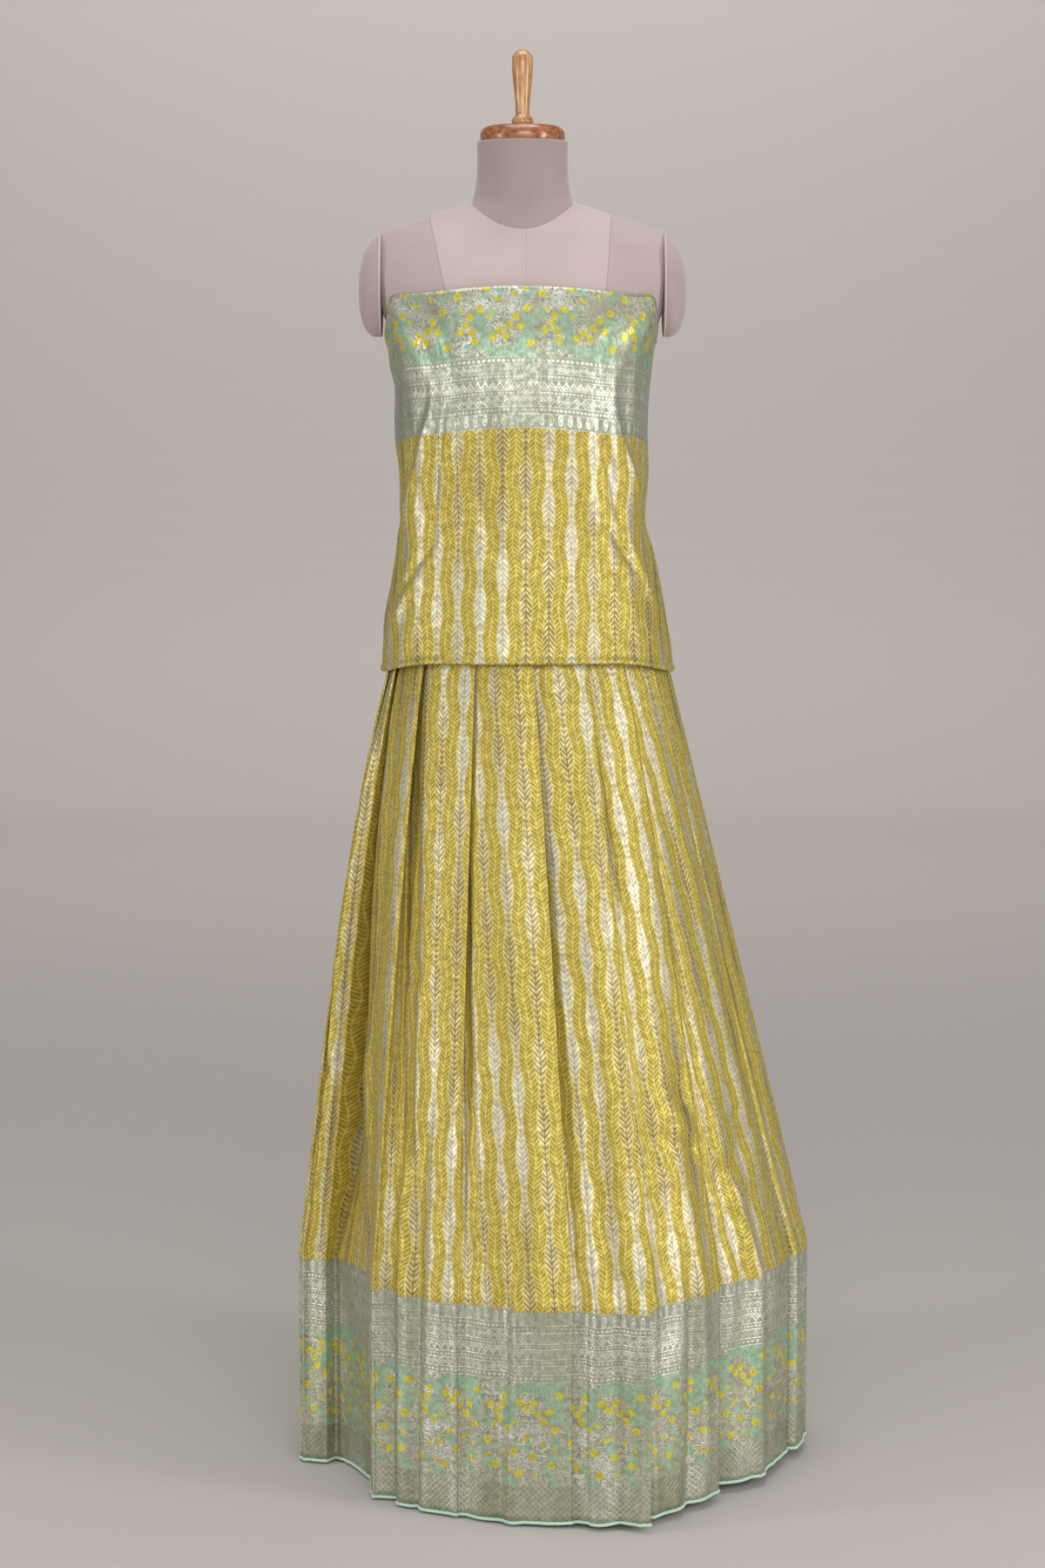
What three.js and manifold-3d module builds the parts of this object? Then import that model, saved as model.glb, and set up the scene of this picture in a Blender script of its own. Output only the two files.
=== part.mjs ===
// A pleated brocade lehenga set shown on a limbless dress form: a floor-length knife-pleated
// skirt with a woven border and a piped hem, and a blouse length of the same cloth wrapped
// round the bust with its lower edge turned under. The form has a padded torso with short
// shoulder caps, a turned wooden neck cap and finial, and a pole on a round steel base.
// Millimetres, +Z up, front towards -Y. The origin is on the floor, under the pole's axis.
import * as THREE from "three";
import { mergeVertices } from "three/addons/utils/BufferGeometryUtils.js";
import Module from "manifold-3d";

const wasm = await Module();
wasm.setup();

// Driving dimensions
const CLOTH = 1.2; // wall thickness of the brocade
const SEAM_GAP = 0.3; // clearance between pieces that meet
const LAYER = 2.6; // spacing of the cloth layers inside a closed pleat

// Heights above the floor
const HEM_Z = 6;
const BORDER_Z = 270; // the woven border's top: the skirt hangs straight below it
const HIP_Z = 1000; // the wrap's lower edge, where the pleats come into view
const WAIST_Z = 1165; // the pleats' top, sewn to the waistband
const WAISTBAND_HEIGHT = 30;
const FORM_BOTTOM_Z = 930;
const NECK_TOP_Z = 1659;

const RAD = Math.PI / 180;
const lerp = (a, b, t) => a + (b - a) * t;
const clamp = (x, lo, hi) => Math.min(hi, Math.max(lo, x));
const smooth = (t) => t * t * (3 - 2 * t);
const hump = (t) => 4 * t * (1 - t);

const BROCADE = new THREE.MeshStandardMaterial({ color: 0xc8b060, roughness: 0.45, metalness: 0.35 });
const PIPING = new THREE.MeshStandardMaterial({ color: 0xa9c8b4, roughness: 0.7, metalness: 0 });
const VELVET = new THREE.MeshStandardMaterial({ color: 0xbfa5a1, roughness: 0.95, metalness: 0 });
const WOOD = new THREE.MeshStandardMaterial({ color: 0xb8732f, roughness: 0.25, metalness: 0 });
const STEEL = new THREE.MeshStandardMaterial({ color: 0x303032, roughness: 0.45, metalness: 0.6 });

// A piecewise cubic through a table's rows, with no overshoot, read at height z.
function along(table, key, z) {
  const last = table.length - 1;
  if (z <= table[0].z) return table[0][key];
  if (z >= table[last].z) return table[last][key];
  let i = 0;
  while (table[i + 1].z < z) i++;
  const slope = (a, b) => (table[b][key] - table[a][key]) / (table[b].z - table[a].z);
  const tangent = (k) => {
    if (k === 0 || k === last) return 0;
    const before = slope(k - 1, k);
    const after = slope(k, k + 1);
    return before * after <= 0 ? 0 : (2 * before * after) / (before + after);
  };
  const run = table[i + 1].z - table[i].z;
  const t = (z - table[i].z) / run;
  const from = table[i][key] * (1 + 2 * t) * (1 - t) ** 2;
  const to = table[i + 1][key] * t * t * (3 - 2 * t);
  return from + to + run * (tangent(i) * t * (1 - t) ** 2 + tangent(i + 1) * t * t * (t - 1));
}

function geometryOf(points, triangles) {
  const geometry = new THREE.BufferGeometry();
  geometry.setAttribute("position", new THREE.Float32BufferAttribute(points.flat(), 3));
  geometry.setIndex(triangles.flat());
  return geometry;
}

function namedMesh(name, geometry, material) {
  const mesh = new THREE.Mesh(geometry, material);
  mesh.name = name;
  return mesh;
}

// Two triangles for each cell of a grid whose rows climb and whose columns run anticlockwise.
function quads(index, rows, columns, closed, turned = false) {
  const faces = [];
  for (let i = 0; i < rows - 1; i++) {
    for (let j = 0; j < (closed ? columns : columns - 1); j++) {
      const k = (j + 1) % columns;
      const [a, b, c, d] = [index(i, j), index(i, k), index(i + 1, k), index(i + 1, j)];
      faces.push(turned ? [a, c, b] : [a, b, c], turned ? [a, d, c] : [a, c, d]);
    }
  }
  return faces;
}

// A closed solid through rings that climb, with a flat lid at each end.
function loft(rings) {
  const columns = rings[0].length;
  const points = rings.flat();
  const faces = quads((i, j) => i * columns + j, rings.length, columns, true);
  for (const [ring, top] of [[0, false], [rings.length - 1, true]]) {
    const centre = points.length;
    const mean = [0, 1, 2].map((k) => rings[ring].reduce((sum, p) => sum + p[k], 0) / columns);
    points.push(mean);
    for (let j = 0; j < columns; j++) {
      const [a, b] = [ring * columns + j, ring * columns + ((j + 1) % columns)];
      faces.push(top ? [centre, a, b] : [centre, b, a]);
    }
  }
  return geometryOf(points, faces);
}

// The point at distance `out` beside each point of a row, measured level, mitred at corners.
function beside(row, out, closed) {
  const count = row.length;
  const MITRE = 0.45;
  return row.map((p, j) => {
    const before = closed ? row[(j + count - 1) % count] : row[Math.max(0, j - 1)];
    const after = closed ? row[(j + 1) % count] : row[Math.min(count - 1, j + 1)];
    const ways = [[before, p], [p, after]]
      .map(([a, b]) => [b[1] - a[1], a[0] - b[0]])
      .filter(([x, y]) => Math.hypot(x, y) > 1e-6)
      .map(([x, y]) => [x / Math.hypot(x, y), y / Math.hypot(x, y)]);
    const [x, y] = ways.reduce(([u, v], [s, t]) => [u + s, v + t], [0, 0]);
    const length = Math.hypot(x, y) || 1;
    const turn = Math.max(MITRE, (x * ways[0][0] + y * ways[0][1]) / length);
    return [p[0] + (out * x) / (length * turn), p[1] + (out * y) / (length * turn), p[2]];
  });
}

// A wall of cloth about a grid of points: `reach` gives its outer and inner distance in a row.
function wall(grid, closed, reach = () => [CLOTH / 2, CLOTH / 2]) {
  const [rows, columns] = [grid.length, grid[0].length];
  const outer = grid.map((row, i) => beside(row, reach(i)[0], closed));
  const inner = grid.map((row, i) => beside(row, -reach(i)[1], closed));
  const points = [...outer.flat(), ...inner.flat()];
  const out = (i, j) => i * columns + j;
  const into = (i, j) => rows * columns + i * columns + j;
  const rim = (row, turned) => quads((i, j) => (i ? into : out)(row, j), 2, columns, closed, turned);
  const faces = [
    ...quads(out, rows, columns, closed),
    ...quads(into, rows, columns, closed, true),
    ...rim(0, true),
    ...rim(rows - 1, false),
  ];
  if (!closed) {
    faces.push(...quads((i, j) => (j ? out : into)(i, 0), rows, 2, false));
    faces.push(...quads((i, j) => (j ? into : out)(i, columns - 1), rows, 2, false));
  }
  return geometryOf(points, faces);
}

// The skirt's outline in plan, at the waist and at the hip: half widths each way.
const WAIST_PLAN = { x: 1, side: 136, front: 108, back: 101 };
const HIP_PLAN = { x: 7.5, side: 180.5, front: 137, back: 134 };
const HEM_CENTRE_X = 40; // the skirt spreads further to its left, the viewer's right

// One row for each knife pleat, anticlockwise from the front's left. hip: its folded edge's
// place at the hip, in degrees round the plan. hem and radius: its place at the hem, about the
// hem's centre. early: how much of its spread it gains sooner than a straight fall would.
// open and sink: the groove's width and depth at the hem, midOpen and midSink what they gain
// half way up. lip: how far the next panel starts inside. tuck: how far the groove's bottom
// lies behind the edge at the hem (less than nothing where the pleat has opened).
const PLEAT_COLUMNS = [
  "name", "hip", "hem", "radius", "early", "open", "sink", "lip", "tuck", "midOpen", "midSink",
];
const PLEATS = [
  ["a", 201, 191.7, 296, 1, 92, 26, 24, 10, 4, 8],
  ["b", 222.5, 222.4, 302, 0.6, 60, 24, 9, -24, 0, 4],
  ["c", 248, 246.2, 298, 0.3, 22, 7, 2, -10, 0, 5],
  ["d", 272, 273.3, 310, 0.1, 18, 6, 2, -8, 8, 9],
  ["e", 294, 288.9, 346, 0.2, 31, 32, 29, 2, 4, 4],
  ["f", 312, 314.1, 288, 0.3, 32, 30, 1, -15, 0, 6],
  ["g", 332, 350.4, 300, 0, 17, 18, -4, -7, 0, 6],
  ["h", 350, 364.6, 327, 0, 28, 26, 10, -11, 0, 4],
  ["i", 373, 386, 306, 0, 34, 30, 8, -14, 2, 4],
  ["j", 396, 408, 298, 0, 26, 22, 5, -12, 0, 6],
  ["k", 420, 430, 305, 0.2, 38, 30, 12, -16, 2, 4],
  ["l", 444, 452, 302, 0.2, 24, 18, 4, -11, 4, 6],
  ["m", 468, 474, 308, 0.3, 34, 30, 12, -14, 0, 4],
  ["n", 492, 497, 297, 0.5, 28, 24, 4, -13, 2, 6],
  ["o", 518, 521, 303, 0.8, 36, 28, 9, -15, 0, 4],
  ["p", 550.5, 547.9, 326, 1, 8, 6, 3, -4, 10, 8],
].map((row) => Object.fromEntries(row.map((value, i) => [PLEAT_COLUMNS[i], value])));
const EARLY = 0.12; // the share of its spread that a pleat with early = 1 has gained too soon
const TUCK = 30; // cloth folded behind each edge at the hip
const TUCK_SHARE = 0.6; // and at most this share of the panel that shows

// The seams lie in the bottoms of these pleats' grooves, at the skirt's sides.
const RIGHT_SEAM = "h";
const LEFT_SEAM = "o";
const PANEL_COLUMNS = 5; // columns between a groove's bottom and the next folded edge

function planPoint(plan, degrees) {
  const [c, s] = [Math.cos(degrees * RAD), Math.sin(degrees * RAD)];
  return [plan.x + plan.side * c, (s < 0 ? plan.front : plan.back) * s];
}

const add = (p, q, k = 1) => [p[0] + q[0] * k, p[1] + q[1] * k];
const gap = (p, q) => Math.hypot(p[0] - q[0], p[1] - q[1]);
const between = (p, q, t) => [lerp(p[0], q[0], t), lerp(p[1], q[1], t)];

// The pleats' key points in plan at height z: folded edge, groove bottom and next panel's start.
function pleatsAt(z) {
  const fall = clamp((HIP_Z - z) / (HIP_Z - BORDER_Z), 0, 1);
  const rise = clamp((z - HIP_Z) / (WAIST_Z - HIP_Z), 0, 1);
  const edges = PLEATS.map((p) => {
    const top = between(planPoint(HIP_PLAN, p.hip), planPoint(WAIST_PLAN, p.hip), rise);
    const low = [HEM_CENTRE_X + p.radius * Math.cos(p.hem * RAD), p.radius * Math.sin(p.hem * RAD)];
    return between(top, low, fall + EARLY * p.early * hump(fall) * (1.3 - fall));
  });
  const count = PLEATS.length;
  const found = PLEATS.map((p, k) => {
    const [before, after] = [edges[(k + count - 1) % count], edges[(k + 1) % count]];
    const span = gap(before, after);
    const way = [(after[0] - before[0]) / span, (after[1] - before[1]) / span];
    const out = [way[1], -way[0]];
    const bell = hump(fall);
    const open = lerp(1, p.open, fall) + p.midOpen * bell;
    const lip = lerp(2 * LAYER, p.lip, fall);
    const start = add(add(edges[k], way, open), out, -lip);
    return { edge: edges[k], way, out, start, depth: lerp(LAYER, p.sink, fall) + p.midSink * bell, fall };
  });
  found.forEach((f, k) => {
    const previous = found[(k + count - 1) % count];
    f.chord = gap(previous.start, f.edge);
    f.bulge = f.chord ** 2 / (8 * Math.max(120, gap(f.edge, [lerp(5, HEM_CENTRE_X, f.fall), 0])));
    f.onPanel = (back) => {
      const q = 1 - back / f.chord;
      const chordWay = [0, 1].map((i) => (f.edge[i] - previous.start[i]) / f.chord);
      return add(between(previous.start, f.edge, q), [chordWay[1], -chordWay[0]], f.bulge * hump(q));
    };
    const closedTuck = Math.min(TUCK, TUCK_SHARE * f.chord);
    const tuck = lerp(closedTuck, PLEATS[k].tuck, f.fall);
    const shut = clamp(tuck / closedTuck, 0, 1);
    const base = tuck > 0 ? f.onPanel(tuck) : add(f.edge, f.way, -tuck);
    f.edgeBack = add(f.edge, f.out, -LAYER);
    f.bottom = add(base, f.out, -f.depth);
    const turn = [f.way[0] * (1 - shut) - f.out[0] * shut, f.way[1] * (1 - shut) - f.out[1] * shut];
    f.bottomEnd = add(f.bottom, turn, LAYER / Math.hypot(...turn));
  });
  return found;
}

// The cloth between two folded edges is as wide as it lies at the hem, where the pleats open.
const HEM_PLEATS = pleatsAt(HEM_Z);
const panelCloth = HEM_PLEATS.map((f, k) => {
  const previous = HEM_PLEATS[(k + PLEATS.length - 1) % PLEATS.length];
  return gap(previous.bottomEnd, previous.start) + f.chord;
});

// The hem lifts off the floor on the viewer's right.
const hemLift = (x) => 10 * smooth(clamp((x + 60) / 400, 0, 1));

// One row of the skirt's cloth in plan at height z, all round, from pleat a's panel.
function skirtRow(z) {
  const pleats = pleatsAt(z);
  const low = clamp((BORDER_Z - z) / (BORDER_Z - HEM_Z), 0, 1);
  const lifted = ([x, y], k, part) => ({ point: [x, y, z + hemLift(x) * low], k, part });
  return pleats.flatMap((f, k) => {
    const previous = pleats[(k + PLEATS.length - 1) % PLEATS.length];
    const row = [lifted(previous.bottomEnd, k, "start")];
    for (let j = 1; j < PANEL_COLUMNS; j++) {
      const back = panelCloth[k] * (1 - j / PANEL_COLUMNS);
      const hidden = (back - f.chord) / (panelCloth[k] - f.chord);
      const at = hidden > 0 ? between(previous.start, previous.bottomEnd, hidden) : f.onPanel(back);
      row.push(lifted(at, k, "panel"));
    }
    row.push(lifted(f.edge, k, "edge"), lifted(f.edgeBack, k, "edge"), lifted(f.bottom, k, "end"));
    return row;
  });
}

const SKIRT_ROWS = [HEM_Z, BORDER_Z, 350, 440, 540, 640, 740, 830, 910, 960, HIP_Z, 1080, WAIST_Z];

// The half of a row that runs from one seam to the other, each end half way across its fold.
function skirtHalf(row, fromPleat, toPleat) {
  const nameOf = (k) => PLEATS[(k + PLEATS.length) % PLEATS.length].name;
  const first = row.findIndex((c) => c.part === "start" && nameOf(c.k - 1) === fromPleat);
  const last = row.findIndex((c) => c.part === "end" && nameOf(c.k) === toPleat);
  const turned = [...row.slice(first), ...row.slice(0, first)].map((c) => c.point);
  const length = ((last - first + row.length) % row.length) + 1;
  const half = turned.slice(0, length);
  const seamPoint = (inside, outside) => {
    const middle = [0, 1, 2].map((i) => (inside[i] + outside[i]) / 2);
    const share = SEAM_GAP / 2 / Math.hypot(...[0, 1, 2].map((i) => outside[i] - inside[i]));
    return middle.map((m, i) => m - (outside[i] - inside[i]) * share);
  };
  const beforeFirst = turned[row.length - 1];
  return [seamPoint(half[0], beforeFirst), ...half, seamPoint(half[length - 1], turned[length % row.length])];
}

function skirtPanels() {
  const rows = SKIRT_ROWS.map(skirtRow);
  const front = rows.map((row) => skirtHalf(row, LEFT_SEAM, RIGHT_SEAM));
  const back = rows.map((row) => skirtHalf(row, RIGHT_SEAM, LEFT_SEAM));
  return [
    namedMesh("skirt_front", wall(front, false), BROCADE),
    namedMesh("skirt_back", wall(back, false), BROCADE),
  ];
}

// The hem's piping: a small cord sewn along the cloth's lower edge, in two lengths.
const PIPING_WIDTH = 3.2;
const PIPING_HEIGHT = 3.6;
function hemPiping() {
  const row = skirtRow(HEM_Z);
  const pieceOf = (name, from, to) => {
    const line = skirtHalf(row, from, to);
    const top = HEM_Z - SEAM_GAP;
    const drop = (z) => line.map((p) => [p[0], p[1], p[2] - HEM_Z + z]);
    const grid = [drop(top - PIPING_HEIGHT), drop(top - PIPING_HEIGHT / 2), drop(top)];
    const widths = [CLOTH, PIPING_WIDTH, CLOTH];
    return namedMesh(name, wall(grid, false, (i) => [widths[i] / 2, widths[i] / 2]), PIPING);
  };
  return [
    pieceOf("hem_piping_front", LEFT_SEAM, RIGHT_SEAM),
    pieceOf("hem_piping_back", RIGHT_SEAM, LEFT_SEAM),
  ];
}

// The dress form's torso: half width, and depth to the front and to the back, at each height.
const TORSO = [
  { z: 930, side: 136, front: 98, back: 98, square: 2.1 },
  { z: 1000, side: 142, front: 104, back: 104, square: 2.1 },
  { z: 1080, side: 129, front: 96, back: 94, square: 2.1 },
  { z: 1150, side: 124, front: 95, back: 87, square: 2.1 },
  { z: 1200, side: 124, front: 95, back: 87, square: 2.1 },
  { z: 1230, side: 126, front: 97, back: 86, square: 2.2 },
  { z: 1290, side: 135, front: 106, back: 88, square: 2.3 },
  { z: 1340, side: 145, front: 123, back: 94, square: 2.4 },
  { z: 1375, side: 152, front: 128.2, back: 96, square: 2.4 },
  { z: 1420, side: 163, front: 114, back: 97, square: 2.4 },
  { z: 1440, side: 170, front: 106, back: 96, square: 2.4 },
  { z: 1460, side: 177, front: 98, back: 94, square: 2.4 },
  { z: 1500, side: 188, front: 84, back: 90, square: 2.3 },
  { z: 1530, side: 186, front: 68, back: 82, square: 2.2 },
  { z: 1545, side: 178, front: 58, back: 71, square: 2.1 },
  { z: 1556, side: 153, front: 51, back: 62, square: 2.0 },
  { z: 1566, side: 121, front: 48, back: 57, square: 2.0 },
  { z: 1577, side: 88, front: 47, back: 54, square: 2.0 },
  { z: 1587, side: 63, front: 49, back: 53, square: 2.0 },
  { z: 1600, side: 58.5, front: 52, back: 53, square: 2.0 },
  { z: 1625, side: 56, front: 54, back: 54, square: 2.0 },
  { z: NECK_TOP_Z, side: 56, front: 55, back: 55, square: 2.0 },
];
const TORSO_COLUMNS = 32;
const ARMHOLE_X = 174; // the torso is flat where the shoulder caps sit

function ovalRing(z, side, front, back, square, count) {
  return Array.from({ length: count }, (_, j) => {
    const angle = (j / count) * 2 * Math.PI;
    const [c, s] = [Math.cos(angle), Math.sin(angle)];
    const round = (v) => Math.sign(v) * Math.abs(v) ** (2 / square);
    return [side * round(c), (s < 0 ? front : back) * round(s), z];
  });
}

function torsoRing(z, count) {
  const [side, front, back, square] = ["side", "front", "back", "square"].map((key) => along(TORSO, key, z));
  return ovalRing(z, side, front, back, square, count);
}

function solidOf(geometry) {
  const plain = geometry.clone();
  plain.deleteAttribute("normal");
  plain.deleteAttribute("uv");
  const merged = mergeVertices(plain, 1e-4);
  const [vertProperties, triVerts] = [merged.attributes.position.array, new Uint32Array(merged.index.array)];
  return new wasm.Manifold(new wasm.Mesh({ numProp: 3, vertProperties, triVerts }));
}

function geometryFrom(solid) {
  const mesh = solid.getMesh();
  const geometry = new THREE.BufferGeometry();
  geometry.setAttribute("position", new THREE.BufferAttribute(mesh.vertProperties.slice(), 3));
  geometry.setIndex(new THREE.BufferAttribute(mesh.triVerts.slice(), 1));
  return geometry;
}

const blockBetween = (low, high) => {
  const size = high.map((h, i) => h - low[i]);
  const block = new THREE.BoxGeometry(...size);
  block.translate(...high.map((h, i) => (h + low[i]) / 2));
  return solidOf(block);
};

function torso() {
  const heights = [930, 1000, 1050, 1110, 1150, 1200, 1230, 1290, 1335, 1375, 1415, 1450, 1480, 1505, 1525,
    1537, 1546, 1554, 1562, 1571, 1580, 1590, 1603, 1625, NECK_TOP_Z];
  const whole = solidOf(loft(heights.map((z) => torsoRing(z, TORSO_COLUMNS))));
  const FAR = 400;
  const slab = blockBetween([-ARMHOLE_X, -FAR, 0], [ARMHOLE_X, FAR, 2000]);
  return namedMesh("form_torso", geometryFrom(whole.intersect(slab)), VELVET);
}

// A shoulder cap: a short rounded stub on the torso's flat armhole face.
const CAP = { reach: 29, low: 1421, high: 1546, depth: 47, set: 2 };
function shoulderCap(name, side) {
  const STEPS = 6;
  const COLUMNS = 20;
  const middle = (CAP.low + CAP.high) / 2;
  const rings = Array.from({ length: STEPS + 1 }, (_, i) => {
    const t = (i / STEPS) * 0.97;
    const share = Math.sqrt(1 - t ** 2.6);
    const x = ARMHOLE_X + SEAM_GAP + CAP.reach * t;
    return Array.from({ length: COLUMNS }, (_, j) => {
      const angle = (j / COLUMNS) * 2 * Math.PI;
      const [c, s] = [Math.cos(angle), Math.sin(angle)];
      const height = ((CAP.high - CAP.low) / 2) * share;
      const round = (v) => Math.sign(v) * Math.abs(v) ** 0.92;
      const lean = CAP.set * 4 * t;
      return [side * x, side * CAP.depth * share * round(c), middle - lean + height * round(s)];
    });
  });
  return namedMesh(name, loft(rings), VELVET);
}

// The waistband: a plain band round the form, with the pleats' top edges under it.
function waistband() {
  const BAND = 6;
  const bottom = WAIST_Z + SEAM_GAP;
  const rings = [bottom, bottom + WAISTBAND_HEIGHT].map((z) => torsoRing(z, TORSO_COLUMNS));
  return namedMesh("waistband", wall(rings, true, () => [SEAM_GAP + BAND, -SEAM_GAP]), BROCADE);
}

// The blouse length wrapped round the bust. left and right: its outline from the front;
// front and back: its depth; crease: where the side fold lies, in degrees forward of the side,
// and ridge: how far that fold stands out.
const WRAP = [
  { z: 1008, left: 175, right: 187.6, front: 146, back: 140, crease: 4, ridge: 1 },
  { z: 1060, left: 170.5, right: 179, front: 140, back: 130, crease: 6, ridge: 6 },
  { z: 1125, left: 158.5, right: 167.5, front: 133, back: 118, crease: 9, ridge: 11 },
  { z: 1170, left: 152.5, right: 156.5, front: 129, back: 110, crease: 14, ridge: 13 },
  { z: 1200, left: 153, right: 152, front: 128, back: 106, crease: 22, ridge: 13 },
  { z: 1255, left: 154, right: 156, front: 128, back: 103, crease: 34, ridge: 10 },
  { z: 1303, left: 158, right: 155, front: 130, back: 102, crease: 44, ridge: 6 },
  { z: 1352, left: 157, right: 158, front: 131, back: 102, crease: 50, ridge: 1.5 },
  { z: 1385, left: 163, right: 161, front: 130, back: 102, crease: 50, ridge: 0 },
  { z: 1405, left: 166, right: 163.5, front: 127, back: 102, crease: 50, ridge: 0 },
  { z: 1425, left: 175, right: 172, front: 121, back: 103, crease: 50, ridge: 0 },
  { z: 1440, left: 177, right: 176, front: 115, back: 103, crease: 50, ridge: 0 },
  { z: 1480, left: 184, right: 183, front: 99, back: 100, crease: 50, ridge: 0 },
];
const WRAP_SQUARE = 2.35; // how boxy the wrap's plan is
const WRAP_OVERLAP = 16; // degrees that the two ends share at the centre back
const WRAP_END_LIFT = 2.4; // the outer end lies this far outside the inner one
const WRAP_START = 90 - WRAP_OVERLAP / 2;

// 0 at a side, 90 at the front or back.
const sideAngle = (degrees) => Math.abs(((degrees - 90 + 360) % 180) - 90);

// The wrap's edges at a place round the body: lifted at the centre front, under the arms at the sides.
function wrapBottom(degrees) {
  const frontness = Math.max(0, -Math.sin(degrees * RAD));
  return 1008 + 16 * smooth(clamp(frontness * 1.3 - 0.2, 0, 1));
}
function wrapTop(degrees) {
  const away = sideAngle(degrees);
  const high = Math.sin(degrees * RAD) < 0 ? 1470 : 1462;
  const arch = 9 * smooth(clamp((away - 40) / 50, 0, 1));
  return lerp(1414, high + arch, smooth(clamp((away - 8) / 26, 0, 1)));
}

// How far the cloth stands out beside a side crease: the front rises to the crease, then the
// cloth drops behind it and is a little hollow. near: degrees from the crease.
const CREASE_RUN = 46; // degrees over which the front rises to the crease
const CREASE_DROP = 6; // degrees in which the cloth falls away behind it
const CREASE_HOLLOW = 26; // degrees in which the side cloth is hollow
function ridgeAt(near, behind, ridge) {
  if (!behind) return ridge * Math.max(0, 1 - near / CREASE_RUN) ** 1.3;
  const low = -0.25 * ridge;
  if (near < CREASE_DROP) return lerp(ridge, low, near / CREASE_DROP);
  return low * Math.max(0, 1 - (near - CREASE_DROP) / CREASE_HOLLOW);
}

function wrapPoint(degrees, z) {
  const at = (key) => along(WRAP, key, z);
  const [c, s] = [Math.cos(degrees * RAD), Math.sin(degrees * RAD)];
  const round = (v) => Math.sign(v) * Math.abs(v) ** (2 / WRAP_SQUARE);
  const forward = c < 0 ? degrees - 180 - at("crease") : 360 - at("crease") - degrees;
  const out = s < 0 || Math.abs(forward) < 60 ? ridgeAt(Math.abs(forward), forward < 0, at("ridge")) : 0;
  const side = c < 0 ? at("left") : at("right");
  return [(side + out * 0.4) * round(c), ((s < 0 ? at("front") : at("back")) + out) * round(s)];
}

// The wrap's columns follow the creases: degrees round the body of column j at height z.
const WRAP_SPANS = [12, 2, 18, 2, 12];
function wrapDegrees(j, z) {
  const crease = along(WRAP, "crease", z);
  const marks = [
    WRAP_START,
    180 + crease - CREASE_DROP,
    180 + crease,
    360 - crease,
    360 - crease + CREASE_DROP,
    WRAP_START + 360 + WRAP_OVERLAP,
  ];
  let [span, first] = [0, 0];
  while (j > first + WRAP_SPANS[span]) first += WRAP_SPANS[span++];
  return lerp(marks[span], marks[span + 1], (j - first) / WRAP_SPANS[span]);
}

function wrap() {
  const columns = WRAP_SPANS.reduce((sum, span) => sum + span, 0);
  const shares = [0, 0.014, 0.026, 0.14, 0.25, 0.36, 0.48, 0.6, 0.72, 0.83, 0.92, 1];
  const TURNED_EDGE = [3.2, 3.6, 1.2]; // thickness of the turned-under lower edge, row by row
  const grid = shares.map((share) =>
    Array.from({ length: columns + 1 }, (_, j) => {
      const turned = wrapDegrees(j, lerp(wrapBottom(270), wrapTop(270), share));
      const degrees = turned % 360;
      const z = lerp(wrapBottom(degrees), wrapTop(degrees), share);
      const [x, y] = wrapPoint(degrees, z);
      const lift = WRAP_END_LIFT * smooth(clamp((turned - 390) / 40, 0, 1));
      const length = Math.hypot(x, y);
      return [x * (1 + lift / length), y * (1 + lift / length), z];
    }),
  );
  const reach = (i) => [(TURNED_EDGE[i] ?? CLOTH) - CLOTH / 2, CLOTH / 2];
  return namedMesh("bust_wrap", wall(grid, false, reach), BROCADE);
}

// Turned wood: the flat neck cap with a rounded rim, and the finial on its bead.
function turned(name, profile, segments, material) {
  const points = profile.map(([r, z]) => new THREE.Vector2(r, z));
  const geometry = new THREE.LatheGeometry(points, segments);
  geometry.rotateX(Math.PI / 2);
  return namedMesh(name, geometry, material);
}

const CAP_BOTTOM = NECK_TOP_Z + SEAM_GAP;
const CAP_RADIUS = 52.5;
const CAP_THICKNESS = 20;
function neckCap() {
  const rim = 11;
  const top = CAP_BOTTOM + CAP_THICKNESS;
  const profile = [[0, CAP_BOTTOM], [CAP_RADIUS - 1, CAP_BOTTOM], [CAP_RADIUS, CAP_BOTTOM + 2]];
  for (let i = 0; i <= 5; i++) {
    const angle = (i / 5) * 90 * RAD;
    profile.push([CAP_RADIUS - rim + rim * Math.cos(angle), top - 1.5 - rim + rim * Math.sin(angle)]);
  }
  profile.push([14, top], [0, top]);
  return turned("neck_cap", profile, 28, WOOD);
}

function finial() {
  const base = CAP_BOTTOM + CAP_THICKNESS + SEAM_GAP;
  const top = 1771;
  const profile = [[0, base], [12.4, base], [13.6, base + 4], [12.6, base + 8]];
  profile.push([9.4, base + 11.4], [8.6, base + 12.4], [8.8, base + 18]);
  profile.push([10.2, base + 38], [12.6, base + 60]);
  const crown = 13;
  for (let i = 0; i <= 5; i++) {
    const angle = (i / 5) * 90 * RAD;
    profile.push([crown * Math.cos(angle) + 0.2 * (1 - i / 5), top - crown + crown * Math.sin(angle)]);
  }
  profile[profile.length - 1][0] = 0;
  return turned("finial", profile, 16, WOOD);
}

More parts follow.
